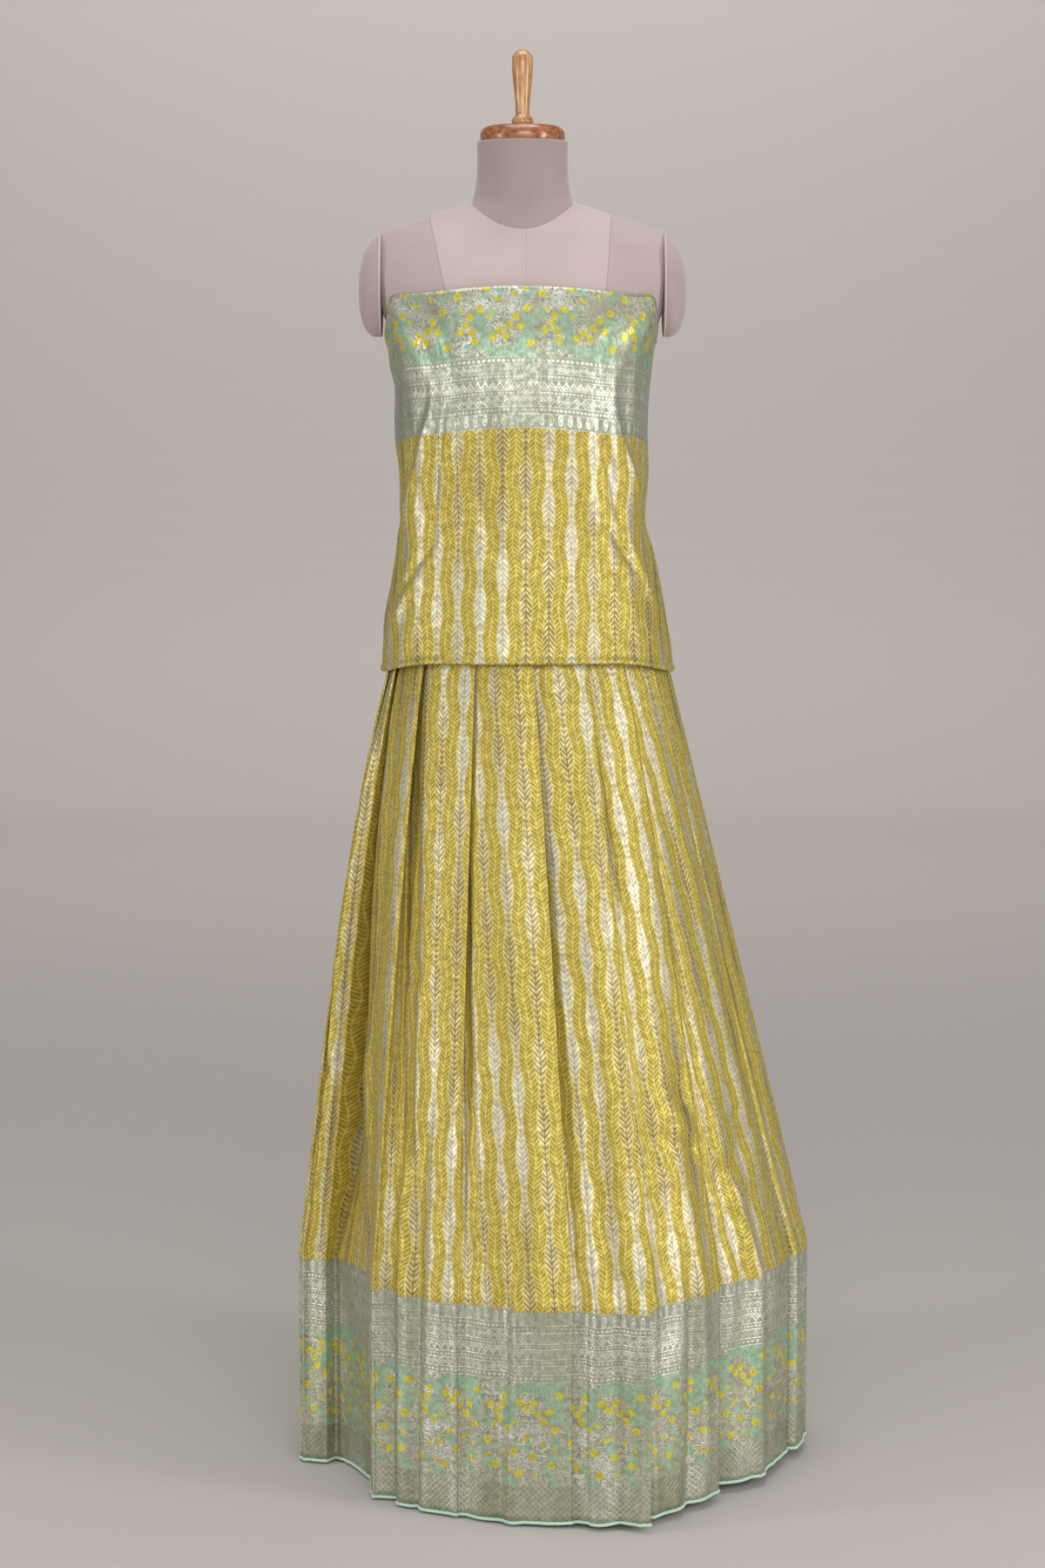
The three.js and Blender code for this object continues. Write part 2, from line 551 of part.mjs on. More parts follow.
// The hidden stand: a pole into the torso's underside and a round base plate that carries it all.
const POLE_RADIUS = 16;
const BASE_RADIUS = 165;
const BASE_THICKNESS = 9;
function stand() {
  const socket = 27;
  const flange = { radius: 46, thickness: 14 };
  const socketTop = 49;
  const base = [[0, 0], [BASE_RADIUS - 2, 0], [BASE_RADIUS, 2], [BASE_RADIUS, BASE_THICKNESS - 3]];
  base.push([BASE_RADIUS - 3, BASE_THICKNESS], [socket + 4, BASE_THICKNESS], [socket, BASE_THICKNESS + 4]);
  base.push([socket, socketTop - 3], [socket - 3, socketTop], [0, socketTop]);
  const foot = socketTop + SEAM_GAP;
  const head = FORM_BOTTOM_Z - SEAM_GAP;
  const pole = [[0, foot], [POLE_RADIUS, foot], [POLE_RADIUS, head - flange.thickness]];
  pole.push([flange.radius, head - flange.thickness], [flange.radius, head], [0, head]);
  return [turned("stand_base", base, 32, STEEL), turned("stand_pole", pole, 16, STEEL)];
}

const lehenga = new THREE.Group();
lehenga.add(...skirtPanels(), ...hemPiping(), waistband(), wrap());
lehenga.add(torso(), shoulderCap("shoulder_cap_left", -1), shoulderCap("shoulder_cap_right", 1));
lehenga.add(neckCap(), finial(), ...stand());
export default lehenga;
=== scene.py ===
import math
import bpy
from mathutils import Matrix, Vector, noise


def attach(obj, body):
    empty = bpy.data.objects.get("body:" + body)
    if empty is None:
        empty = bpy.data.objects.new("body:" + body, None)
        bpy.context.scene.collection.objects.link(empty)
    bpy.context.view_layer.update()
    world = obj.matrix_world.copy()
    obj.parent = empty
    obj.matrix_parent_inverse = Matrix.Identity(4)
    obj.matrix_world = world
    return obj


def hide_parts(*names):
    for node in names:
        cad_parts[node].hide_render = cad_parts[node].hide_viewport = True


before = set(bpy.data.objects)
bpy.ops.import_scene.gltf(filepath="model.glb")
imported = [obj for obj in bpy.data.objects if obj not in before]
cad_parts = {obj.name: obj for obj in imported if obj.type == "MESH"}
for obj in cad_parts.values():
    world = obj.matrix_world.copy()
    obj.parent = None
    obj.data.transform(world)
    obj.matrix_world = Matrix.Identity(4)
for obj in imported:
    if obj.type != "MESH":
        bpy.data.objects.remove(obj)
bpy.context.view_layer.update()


# Floor, light and camera
# A pale paper sweep, a soft light in front, one overhead and one on the sweep behind, and two
# tall softboxes that give the brocade its long bands of shine.
SWEEP_CURVE = [(0, 0.3, 0), (0, 0.9, 0.35), (0, 0.35, 0.9), (0, 0, 5)]
CAMERA_PLACE, CAMERA_DIP, FOCAL_LENGTH = (0, -4.24, 1.32), 6.17, 77.74


def deselect_all():
    for thing in bpy.context.selected_objects:
        thing.select_set(False)


def plain_material(name, colour, roughness):
    material = bpy.data.materials.new(name)
    material.use_nodes = True
    shader = material.node_tree.nodes["Principled BSDF"]
    shader.inputs["Base Color"].default_value = (*colour, 1)
    shader.inputs["Roughness"].default_value = roughness
    return material


deselect_all()
bpy.ops.mesh.primitive_plane_add(size=20, location=(0, 0, -0.0005))
sweep = bpy.context.object
sweep.name = "paper_sweep"
bpy.ops.object.mode_set(mode="EDIT")
bpy.ops.mesh.select_mode(type="EDGE")
bpy.ops.mesh.select_all(action="DESELECT")
bpy.ops.object.mode_set(mode="OBJECT")
for edge in sweep.data.edges:
    edge.select = all(sweep.data.vertices[v].co.y > 0 for v in edge.vertices)
bpy.ops.object.mode_set(mode="EDIT")
bpy.ops.transform.translate(value=(0, -3.5, 0))
for step in SWEEP_CURVE:
    bpy.ops.mesh.extrude_region_move(TRANSFORM_OT_translate={"value": step})
bpy.ops.object.mode_set(mode="OBJECT")
rounding = sweep.modifiers.new("rounding", "SUBSURF")
rounding.levels = rounding.render_levels = 4
sweep.data.materials.append(plain_material("pale_paper", (0.56, 0.515, 0.485), 0.9))


def soft_light(name, place, aim, width, height, watts):
    light = bpy.data.lights.new(name, "AREA")
    light.shape = "RECTANGLE"
    light.size = width
    light.size_y = height
    light.energy = watts
    lamp = bpy.data.objects.new(name, light)
    lamp.location = place
    lamp.rotation_euler = (Vector(aim) - Vector(place)).to_track_quat("-Z", "Y").to_euler()
    bpy.context.collection.objects.link(lamp)


soft_light("front_light", (0.4, -4.4, 2.15), (0, 0, 0.65), 2.4, 1.5, 70)
soft_light("overhead_light", (0, -0.1, 4.3), (0, 0.2, 0), 2.2, 2.2, 57)
soft_light("left_softbox", (-2.7, -1.3, 0.9), (0, 0, 0.6), 0.6, 1.8, 26)
soft_light("right_softbox", (2.6, -1.5, 1.1), (0, 0, 0.7), 0.6, 1.8, 35)
soft_light("backdrop_light", (0, 4.2, 5.6), (0, 7.6, 3.4), 6.0, 0.8, 196)


def feed(node, values):
    """Sets a node's inputs to plain values, or links them to sockets or signals."""
    for label, value in values.items():
        value = getattr(value, "socket", value)
        if isinstance(value, bpy.types.NodeSocket):
            node.id_data.links.new(value, node.inputs[label])
        else:
            node.inputs[label].default_value = value
    return node


def add_node(tree, kind, values=None, **settings):
    node = tree.nodes.new(kind)
    for key, value in settings.items():
        setattr(node, key, value)
    return feed(node, values or {})


world = bpy.data.worlds.new("studio")
world.use_nodes = True
sky = world.node_tree
heading = add_node(sky, "ShaderNodeTexCoord").outputs["Generated"]
split = add_node(sky, "ShaderNodeSeparateXYZ", {"Vector": heading})
glow = add_node(
    sky,
    "ShaderNodeMapRange",
    {"Value": split.outputs["Y"], "From Min": -1, "From Max": 0.6, "To Min": 0.4, "To Max": 0.14},
)
feed(sky.nodes["Background"], {"Strength": glow.outputs["Result"], "Color": (0.97, 0.98, 1, 1)})
bpy.context.scene.world = world

lens = bpy.data.cameras.new("camera")
lens.sensor_width = 36
lens.lens = FOCAL_LENGTH
lens.dof.use_dof = False
camera = bpy.data.objects.new("camera", lens)
camera.location = CAMERA_PLACE
camera.rotation_euler = (math.radians(90 - CAMERA_DIP), 0, 0)
bpy.context.collection.objects.link(camera)
bpy.context.scene.camera = camera
bpy.context.scene.view_settings.view_transform = "Standard"


# The stand
# A round steel base plate with a socket, and a steel tube with a flange screwed under the
# torso. Both are powder coated black and hidden by the skirt.
def new_piece(name, points, faces):
    mesh = bpy.data.meshes.new(name)
    mesh.from_pydata(points, [], faces)
    piece = bpy.data.objects.new(name, mesh)
    bpy.context.collection.objects.link(piece)
    return piece


def grid_faces(rows, count, closed=True, looped=False):
    """Faces between rows of points, closed along each row, and looped from last row to first."""
    faces = []
    for i in range(rows if looped else rows - 1):
        for j in range(count if closed else count - 1):
            h, k = (i + 1) % rows, (j + 1) % count
            faces.append((i * count + j, i * count + k, h * count + k, h * count + j))
    return faces


def solid_of(name, rings):
    """A closed mesh through rings of points that run anticlockwise and climb."""
    rows, count = len(rings), len(rings[0])
    faces = grid_faces(rows, count)
    faces.append(tuple(reversed(range(count))))
    faces.append(tuple(range((rows - 1) * count, rows * count)))
    return new_piece(name, [p for ring in rings for p in ring], faces)


def turn(name, profile, segments):
    """A turned solid: a disc is added at the foot, then raised and resized step by step."""
    deselect_all()
    radius, foot = profile[0]
    bpy.ops.mesh.primitive_circle_add(
        vertices=segments, radius=radius, fill_type="TRIFAN", location=(0, 0, foot)
    )
    piece = bpy.context.object
    piece.name = name
    bpy.ops.object.mode_set(mode="EDIT")
    bpy.ops.mesh.select_all(action="SELECT")
    for wide, high in profile[1:]:
        bpy.ops.mesh.extrude_region_move(TRANSFORM_OT_translate={"value": (0, 0, high - foot)})
        share = wide / radius
        bpy.ops.transform.resize(value=(share, share, 1), center_override=(0, 0, high))
        radius, foot = wide, high
    bpy.ops.mesh.select_all(action="SELECT")
    bpy.ops.mesh.remove_doubles(threshold=1e-6)
    bpy.ops.mesh.normals_make_consistent(inside=False)
    bpy.ops.object.mode_set(mode="OBJECT")
    bpy.ops.object.transform_apply(location=True, rotation=True, scale=True)
    bpy.ops.object.shade_smooth_by_angle(angle=math.radians(32))
    return piece


def shader_of(material):
    return material.node_tree.nodes["Principled BSDF"]


def place_on(material):
    """The place on the object, for the material's textures."""
    return add_node(material.node_tree, "ShaderNodeTexCoord").outputs["Object"]


def noise_at(vector, scale, detail=2, distortion=0):
    values = {"Vector": vector, "Scale": scale, "Detail": detail, "Distortion": distortion}
    return add_node(vector.id_data, "ShaderNodeTexNoise", values).outputs["Fac"]


def emboss(material, height, strength, distance):
    values = {"Height": height, "Strength": strength, "Distance": distance}
    bump = add_node(material.node_tree, "ShaderNodeBump", values)
    feed(shader_of(material), {"Normal": bump.outputs["Normal"]})


black_coat = plain_material("black_powder_coat", (0.018, 0.018, 0.02), 0.42)
emboss(black_coat, noise_at(place_on(black_coat), 900), 0.25, 0.0003)

base = turn(
    "base_plate",
    [(0.163, 0), (0.165, 0.002), (0.165, 0.006), (0.162, 0.009), (0.031, 0.009), (0.027, 0.013),
     (0.027, 0.046), (0.024, 0.049)],
    64,
)
pole = turn(
    "pole_tube",
    [(0.016, 0.0493), (0.016, 0.9157), (0.046, 0.9157), (0.046, 0.9297)],
    40,
)
for piece, node in ((base, "stand_base"), (pole, "stand_pole")):
    piece.data.materials.append(black_coat)
    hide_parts(node)
    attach(piece, "root")


# The torso and shoulder caps
# A padded form under a suede-like mauve cover that is sewn from panels: princess seams, a
# seam down the front and back, one round the neck, and piped seams round the shoulder caps.
def along(table, column, z):
    """A piecewise cubic through the table's column, with no overshoot, read at height z."""
    if z <= table[0][0]:
        return table[0][column]
    if z >= table[-1][0]:
        return table[-1][column]
    i = 0
    while table[i + 1][0] < z:
        i += 1

    def slope(a, b):
        return (table[b][column] - table[a][column]) / (table[b][0] - table[a][0])

    def tangent(k):
        if k in (0, len(table) - 1):
            return 0
        first, second = slope(k - 1, k), slope(k, k + 1)
        return 0 if first * second <= 0 else 2 * first * second / (first + second)

    run = table[i + 1][0] - table[i][0]
    t = (z - table[i][0]) / run
    start = table[i][column] * (1 + 2 * t) * (1 - t) ** 2
    end = table[i + 1][column] * t * t * (3 - 2 * t)
    return start + end + run * (tangent(i) * t * (1 - t) ** 2 + tangent(i + 1) * t * t * (t - 1))


def mix(a, b, t):
    return a + (b - a) * t


def clamp(x, low=0.0, high=1.0):
    return min(high, max(low, x))


def smooth(t):
    t = clamp(t)
    return t * t * (3 - 2 * t)


def bow(t):
    return 4 * t * (1 - t)


def signed_power(v, power):
    return math.copysign(abs(v) ** power, v)


# columns: height, half width, depth to the front, depth to the back, squareness
TORSO = [
    (930, 136, 98, 98, 2.1), (1000, 142, 104, 104, 2.1), (1080, 129, 96, 94, 2.1),
    (1150, 124, 95, 87, 2.1), (1200, 124, 95, 87, 2.1), (1230, 126, 97, 86, 2.2),
    (1290, 135, 106, 88, 2.3), (1340, 145, 123, 94, 2.4), (1375, 152, 128.2, 96, 2.4),
    (1420, 163, 114, 97, 2.4), (1440, 170, 106, 96, 2.4), (1460, 177, 98, 94, 2.4),
    (1500, 188, 84, 90, 2.3), (1530, 186, 68, 82, 2.2), (1545, 178, 58, 71, 2.1),
    (1556, 153, 51, 62, 2.0), (1566, 121, 48, 57, 2.0), (1577, 88, 47, 54, 2.0),
    (1587, 63, 49, 53, 2.0), (1600, 58.5, 52, 53, 2.0), (1625, 56, 54, 54, 2.0),
    (1659, 56, 55, 55, 2.0),
]
ARMHOLE_X = 174


def torso_point(degrees, z, out=0.0):
    c, s = math.cos(math.radians(degrees)), math.sin(math.radians(degrees))
    side, front, back, square = (along(TORSO, k, z) for k in (1, 2, 3, 4))
    depth = front if s < 0 else back
    x = (side + out) * signed_power(c, 2 / square)
    y = (depth + out) * signed_power(s, 2 / square)
    edge = ARMHOLE_X + out
    return (clamp(x, -edge, edge) / 1000, y / 1000, z / 1000)


heights = [930 + 6.0 * i for i in range(96)] + [1503 + 2.6 * i for i in range(61)]
torso = solid_of("torso_cover", [[torso_point(j * 2.5, z) for j in range(144)] for z in heights])

CAP_GAP, CAP_BULGE, CAP_MIDDLE, CAP_DROP = 0.3, 29, 1483.5, 8
CAP_HALF_DEPTH, CAP_HALF_HEIGHT, CAP_POWER, CAP_SIDES = 47, 62.5, 0.92, 56


def cap_ring(side, t, share):
    """A ring at share t of the cap's bulge, with that share of the cap's height and depth."""
    x = side * (ARMHOLE_X + CAP_GAP + CAP_BULGE * t) / 1000
    ring = []
    for j in range(CAP_SIDES):
        turn_by = j / CAP_SIDES * 2 * math.pi * side
        y = CAP_HALF_DEPTH * share * signed_power(math.cos(turn_by), CAP_POWER)
        up = CAP_HALF_HEIGHT * share * signed_power(math.sin(turn_by), CAP_POWER)
        ring.append((x, y / 1000, (CAP_MIDDLE - CAP_DROP * t + up) / 1000))
    return ring


def shoulder_cap(name, side):
    steps = [0.97 * math.sin(math.pi / 2 * i / 18) for i in range(19)]
    return solid_of(name, [cap_ring(side, t, math.sqrt(1 - t ** 2.6)) for t in steps])


caps = [shoulder_cap("left_cap_cover", -1), shoulder_cap("right_cap_cover", 1)]


class Signal:
    """A value in a shader, so that sums of sockets read as sums."""

    def __init__(self, socket):
        self.socket = socket

    def make(self, operation, *others):
        values = dict(enumerate((self, *others)))
        node = add_node(self.socket.id_data, "ShaderNodeMath", values, operation=operation)
        return Signal(node.outputs[0])

    def __add__(self, other):
        return self.make("ADD", other)

    def __sub__(self, other):
        return self.make("SUBTRACT", other)

    def __mul__(self, other):
        return self.make("MULTIPLY", other)

    def __truediv__(self, other):
        return self.make("DIVIDE", other)

    def abs(self):
        return self.make("ABSOLUTE")

    def least(self, other):
        return self.make("MINIMUM", other)

    def most(self, other):
        return self.make("MAXIMUM", other)

    def part(self):
        return self.make("FRACT")

    def held(self):
        """Kept between 0 and 1."""
        return self.most(0.0).least(1.0)

    def rest(self):
        """What is left of 1."""
        return self * -1.0 + 1.0

    def below(self, edge, soft):
        """1 below the edge, 0 above it, with a step between that is as wide as soft."""
        return ((self - edge) * (-1 / soft) + 0.5).held()

    def above(self, edge):
        return self.make("GREATER_THAN", edge)

    def within(self, low, high):
        return self.above(low) * self.make("LESS_THAN", high)

    def blend(self, first, second, way="MIX"):
        """The first colour where the signal is 0, the second where it is 1."""
        values = {"Factor": self, "A": first, "B": second}
        for label in "AB":
            if isinstance(values[label], tuple):
                values[label] = (*values[label], 1)
        tree = self.socket.id_data
        node = add_node(tree, "ShaderNodeMix", values, data_type="RGBA", blend_type=way)
        return node.outputs["Result"]


def axes_of(vector):
    split = add_node(vector.id_data, "ShaderNodeSeparateXYZ", {"Vector": vector})
    return [Signal(socket) for socket in split.outputs]


def open_group(name, given, taken):
    """A node group that is given a vector and gives values, with the vector's socket."""
    group = bpy.data.node_groups.new(name, "ShaderNodeTree")
    group.interface.new_socket(given, in_out="INPUT", socket_type="NodeSocketVector")
    for label in taken:
        group.interface.new_socket(label, in_out="OUTPUT", socket_type="NodeSocketFloat")
    return group, add_node(group, "NodeGroupInput").outputs[given]


def close_group(group, values):
    add_node(group, "NodeGroupOutput", values)
    return group


# The cover's seams: the panel lines slope in towards the bust, and the neck is a piece of its own.
SEAM_EDGE, SEAM_HALF = 0.0008, 0.0005


def cover_panels():
    group, place = open_group("cover_panels", "Place", ("Side panel", "Neck", "Seam"))
    x, y, z = axes_of(place)
    from_left = x - (z * -0.22 + 0.2301)
    from_right = (z * 0.077 - 0.0113) - x
    inside = from_left.least(from_right)
    above_neck = z - (y * 33).most(-1.0).least(1.0) * 0.0125 - x * x * 7.9 - 1.563
    neck = (above_neck * -1.0).below(0.0, SEAM_EDGE)
    centre_line = (x - 0.0045).abs()
    seams = inside.abs().least(centre_line * 1.6)
    seams = seams + (above_neck + 0.0006).above(0.0)
    seam = seams.least(above_neck.abs()).below(SEAM_HALF, SEAM_EDGE)
    side_panel = inside.below(0.0, SEAM_EDGE) * neck.rest()
    return close_group(group, {"Side panel": side_panel, "Neck": neck, "Seam": seam})


PANELS = cover_panels()


def cover_material(name, tone):
    """Suede with a nap, brushed lighter and darker in patches, and a darker shade for panels."""
    material = plain_material(name, (0.5, 0.4, 0.38), 0.92)
    place = place_on(material)
    nap, brushing = noise_at(place, 700, 4), noise_at(place, 16, 3)
    dark, light = tuple(0.9 * c for c in tone), tuple(min(1, 1.12 * c) for c in tone)
    colour = Signal(brushing).blend(dark, light)
    values = {"Place": place}
    panels = add_node(material.node_tree, "ShaderNodeGroup", values, node_tree=PANELS)
    for label, share in (("Side panel", 0.87), ("Neck", 0.7), ("Seam", 0.7)):
        shade = (share, share * 0.98, share * 0.98)
        colour = Signal(panels.outputs[label]).blend(colour, shade, "MULTIPLY")
    sheen = {"Sheen Weight": 0.35, "Sheen Roughness": 0.5, "Specular IOR Level": 0.2}
    feed(shader_of(material), {"Base Color": colour, **sheen})
    emboss(material, nap, 0.35, 0.0004)
    return material


torso.data.materials.append(cover_material("mauve_suede_torso", (0.53, 0.42, 0.4)))
arm_cover = cover_material("mauve_suede_caps", (0.475, 0.37, 0.355))
seam_cover = plain_material("pale_seam_cord", (0.62, 0.52, 0.47), 0.8)
CORD_SIDES = 8


def cord_along(name, line, radius, material, axis=(0, 0, 1)):
    """A round cord along a closed line in a plane across the axis."""
    points, count = [], len(line)
    for j, p in enumerate(line):
        way = (Vector(line[(j + 1) % count]) - Vector(line[j - 1])).normalized()
        out = way.cross(Vector(axis)).normalized()
        up = out.cross(way)
        for i in range(CORD_SIDES):
            turn_by = 2 * math.pi * i / CORD_SIDES
            off = (out * math.cos(turn_by) + up * math.sin(turn_by)) * radius
            points.append(tuple(Vector(p) + off))
    piece = new_piece(name, points, grid_faces(count, CORD_SIDES, looped=True))
    piece.data.shade_smooth()
    piece.data.materials.append(material)
    return piece


for side, cap in zip((-1, 1), caps):
    cap.data.materials.append(arm_cover)
    rim = cap_ring(side, 0.05, 1.0)
    seam_cord = cord_along("seam_cord", rim, 0.0011, seam_cover, axis=(1, 0, 0))
    deselect_all()
    seam_cord.select_set(True)
    cap.select_set(True)
    bpy.context.view_layer.objects.active = cap
    bpy.ops.object.join()
for piece in [torso, *caps]:
    piece.data.shade_smooth()
    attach(piece, "root")
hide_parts("form_torso")
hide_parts("shoulder_cap_left")
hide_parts("shoulder_cap_right")


# The turned wood
# A neck cap like a thick disc with a rounded rim, and a finial turned with a bead at its
# foot, both of a reddish hardwood under clear varnish. The finial is glued into the cap.
CAP_FOOT, FINIAL_FOOT = 1.6593, 1.6796


def rounded_rim(inner, foot, wide, high, steps):
    """Points up a quarter round, in eighths, for a turned profile."""
    angles = [math.radians(i / 8 * 90) for i in steps]
    return [(inner + wide * math.cos(a), foot + high * math.sin(a)) for a in angles]


cap_profile = [(0.0515, CAP_FOOT), (0.0525, CAP_FOOT + 0.002)]
cap_profile += rounded_rim(0.0415, CAP_FOOT + 0.0075, 0.011, 0.011, range(9))
cap_profile += [(0.03, CAP_FOOT + 0.0195), (0.014, CAP_FOOT + 0.02), (0.0135, CAP_FOOT + 0.0198)]
wood_cap = turn("wooden_neck_cap", cap_profile, 72)

finial_profile = [
    (0.0124, 0), (0.0133, 0.002), (0.0136, 0.004), (0.0133, 0.0065), (0.012, 0.0088),
    (0.0098, 0.0108), (0.0087, 0.0122), (0.0085, 0.0145), (0.0088, 0.018), (0.0094, 0.028),
    (0.0102, 0.038), (0.0113, 0.049), (0.0126, 0.062), (0.0131, 0.0705),
]
finial_profile = [(wide, FINIAL_FOOT + high) for wide, high in finial_profile]
finial_profile += rounded_rim(0, 1.758, 0.0132, 0.013, range(1, 8))
wooden_finial = turn("wooden_finial", finial_profile, 48)


def stretched(vector, scale):
    values = {"Vector": vector, "Scale": scale}
    return add_node(vector.id_data, "ShaderNodeMapping", values).outputs["Vector"]


def varnished_wood(name, dark, light, stretch):
    material = plain_material(name, light, 0.3)
    figure = noise_at(stretched(place_on(material), stretch), 42, 6, 0.6)
    tones = add_node(material.node_tree, "ShaderNodeValToRGB", {"Fac": figure})
    first, last = tones.color_ramp.elements
    first.position, first.color = 0.36, (*dark, 1)
    last.position, last.color = 0.66, (*light, 1)
    varnish = {"Coat Weight": 0.6, "Coat Roughness": 0.12}
    feed(shader_of(material), {"Base Color": tones.outputs["Color"], **varnish})
    emboss(material, figure, 0.12, 0.0003)
    return material


cap_wood = varnished_wood("cap_wood", (0.2, 0.06, 0.02), (0.5, 0.19, 0.07), (1, 5, 5))
finial_wood = varnished_wood("finial_wood", (0.4, 0.17, 0.06), (0.68, 0.38, 0.16), (6, 6, 0.8))
wood_cap.data.materials.append(cap_wood)
wooden_finial.data.materials.append(finial_wood)
for piece, node in ((wood_cap, "neck_cap"), (wooden_finial, "finial")):
    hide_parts(node)
    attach(piece, "root")


# The skirt
# One long length of silk brocade, loom width from waist to hem, knife-pleated into a
# waistband. The woven border runs along the hem, and each pleat opens towards the floor.
# Sizes are in millimetres. A plan holds its centre, half width, front and back half depth.
HEM_Z, BORDER_Z, HIP_Z, WAIST_Z = 6, 270, 1000, 1165
LAYER, FOLD_GIRTH, FOLD_NOSE = 2.6, 4, 1.1
WAIST_PLAN = (1, 136, 108, 101)
HIP_PLAN = (7.5, 180.5, 137, 134)
HEM_CENTRE_X, BULGE_CENTRE_X, LEAST_BULGE_RADIUS = 40, 5, 120
EARLY, EARLY_LEAN = 0.12, 1.3  # how far a pleat spreads ahead of a straight fall
WAIST_OPENING, WAIST_SINK = 4.4, 8
TUCK, TUCK_SHARE = 30, 0.6

# columns: folded edge's degrees at the hip and at the hem, its radius at the hem, early
# spread, groove's width and depth at the hem, the next panel's start inside, the groove
# bottom's place behind the edge, and what the groove's width and depth gain half way up
PLEATS = [
    (201, 191.7, 296, 1, 92, 26, 24, 10, -30, 48),
    (222.5, 222.4, 302, 0.6, 60, 24, 9, -24, 0, 4),
    (248, 246.2, 298, 0.3, 22, 7, 2, -10, 0, 5),
    (272, 273.3, 310, 0.1, 18, 6, 2, -8, 8, 9),
    (294, 288.9, 346, 0.2, 31, 32, 29, 2, 4, 4),
    (312, 314.1, 288, 0.3, 32, 30, 1, -15, 0, 6),
    (332, 350.4, 300, 0, 17, 18, -4, -7, 0, 6),
    (350, 364.6, 327, 0, 28, 26, 10, -11, 0, 4),
    (373, 386, 306, 0, 34, 30, 8, -14, 2, 4),
    (396, 408, 298, 0, 26, 22, 5, -12, 0, 6),
    (420, 430, 305, 0.2, 38, 30, 12, -16, 2, 4),
    (444, 452, 302, 0.2, 24, 18, 4, -11, 4, 6),
    (468, 474, 308, 0.3, 34, 30, 12, -14, 0, 4),
    (492, 497, 297, 0.5, 28, 24, 4, -13, 2, 6),
    (518, 521, 303, 0.8, 36, 28, 9, -15, 0, 4),
    (550.5, 547.9, 326, 1, 8, 6, 3, -4, 10, 8),
]
PLEAT_COUNT = len(PLEATS)


def plan_point(plan, degrees):
    c, s = math.cos(math.radians(degrees)), math.sin(math.radians(degrees))
    centre, side, front, back = plan
    return Vector((centre + side * c, (front if s < 0 else back) * s))


def pleats_at(z):
    """Each pleat's key points in plan at height z, in millimetres."""
    fall = clamp((HIP_Z - z) / (HIP_Z - BORDER_Z))
    rise = clamp((z - HIP_Z) / (WAIST_Z - HIP_Z))
    edges = []
    for hip, hem, radius, early, *_ in PLEATS:
        top = plan_point(HIP_PLAN, hip).lerp(plan_point(WAIST_PLAN, hip), rise)
        turn_by = math.radians(hem)
        low = Vector((HEM_CENTRE_X + radius * math.cos(turn_by), radius * math.sin(turn_by)))
        edges.append(top.lerp(low, fall + EARLY * early * bow(fall) * (EARLY_LEAN - fall)))
    found = []
    for k, (_, _, _, _, wide, sink, lip, _, mid_wide, mid_sink) in enumerate(PLEATS):
        way = (edges[(k + 1) % PLEAT_COUNT] - edges[k - 1]).normalized()
        out = Vector((way.y, -way.x))
        opened = mix(WAIST_OPENING, wide, fall) + mid_wide * bow(fall)
        start = edges[k] + way * opened - out * mix(2 * LAYER, lip, fall)
        depth = mix(WAIST_SINK, sink, fall) + mid_sink * bow(fall)
        found.append({"edge": edges[k], "way": way, "out": out, "start": start, "depth": depth})
    for k, pleat in enumerate(found):
        start, edge, way, out = found[k - 1]["start"], pleat["edge"], pleat["way"], pleat["out"]
        chord = (edge - start).length
        centre = Vector((mix(BULGE_CENTRE_X, HEM_CENTRE_X, fall), 0))
        bulge = chord ** 2 / (8 * max(LEAST_BULGE_RADIUS, (edge - centre).length))
        across = (edge - start) / chord
        normal = Vector((across.y, -across.x))

        def on_panel(back, start=start, edge=edge, chord=chord, bulge=bulge, normal=normal):
            q = 1 - back / chord
            return start.lerp(edge, q) + normal * bulge * bow(q)

        closed = min(TUCK, TUCK_SHARE * chord)
        tuck = mix(closed, PLEATS[k][7], fall)
        shut = clamp(tuck / closed)
        foot = on_panel(tuck) if tuck > 0 else edge - way * tuck
        pleat["edge_back"] = edge - out * LAYER
        pleat["bottom"] = foot - out * pleat["depth"]
        turned = way * (1 - shut) - out * shut
        pleat["bottom_end"] = pleat["bottom"] + turned.normalized() * LAYER
        pleat["on_panel"], pleat["chord"] = on_panel, chord
    return found


hem_pleats = pleats_at(HEM_Z)
panel_cloth = [
    (hem_pleats[k - 1]["bottom_end"] - hem_pleats[k - 1]["start"]).length + pleat["chord"]
    for k, pleat in enumerate(hem_pleats)
]
PANEL_STEPS, FOLD_STEPS, GROOVE_STEPS = 22, 3, 7


def skirt_columns():
    """Each column's pleat, part, share of that part, and place along the cloth in metres."""
    columns, u = [], 0.0
    for k, panel in enumerate(panel_cloth):
        for j in range(PANEL_STEPS):
            t = j / PANEL_STEPS
            share = 0.5 * t + 0.5 * (1 - (1 - t) ** 2)
            columns.append((k, "panel", share, (u + share * panel) / 1000))
        u += panel
        groove = (hem_pleats[k]["bottom"] - hem_pleats[k]["edge_back"]).length
        for part, length, steps in (
            ("fold", FOLD_GIRTH, FOLD_STEPS), ("groove", groove, GROOVE_STEPS), ("turn", LAYER, 1)
        ):
            for j in range(steps):
                columns.append((k, part, j / steps, (u + length * j / steps) / 1000))
            u += length
    return columns, u / 1000


COLUMNS, SKIRT_WIDTH = skirt_columns()

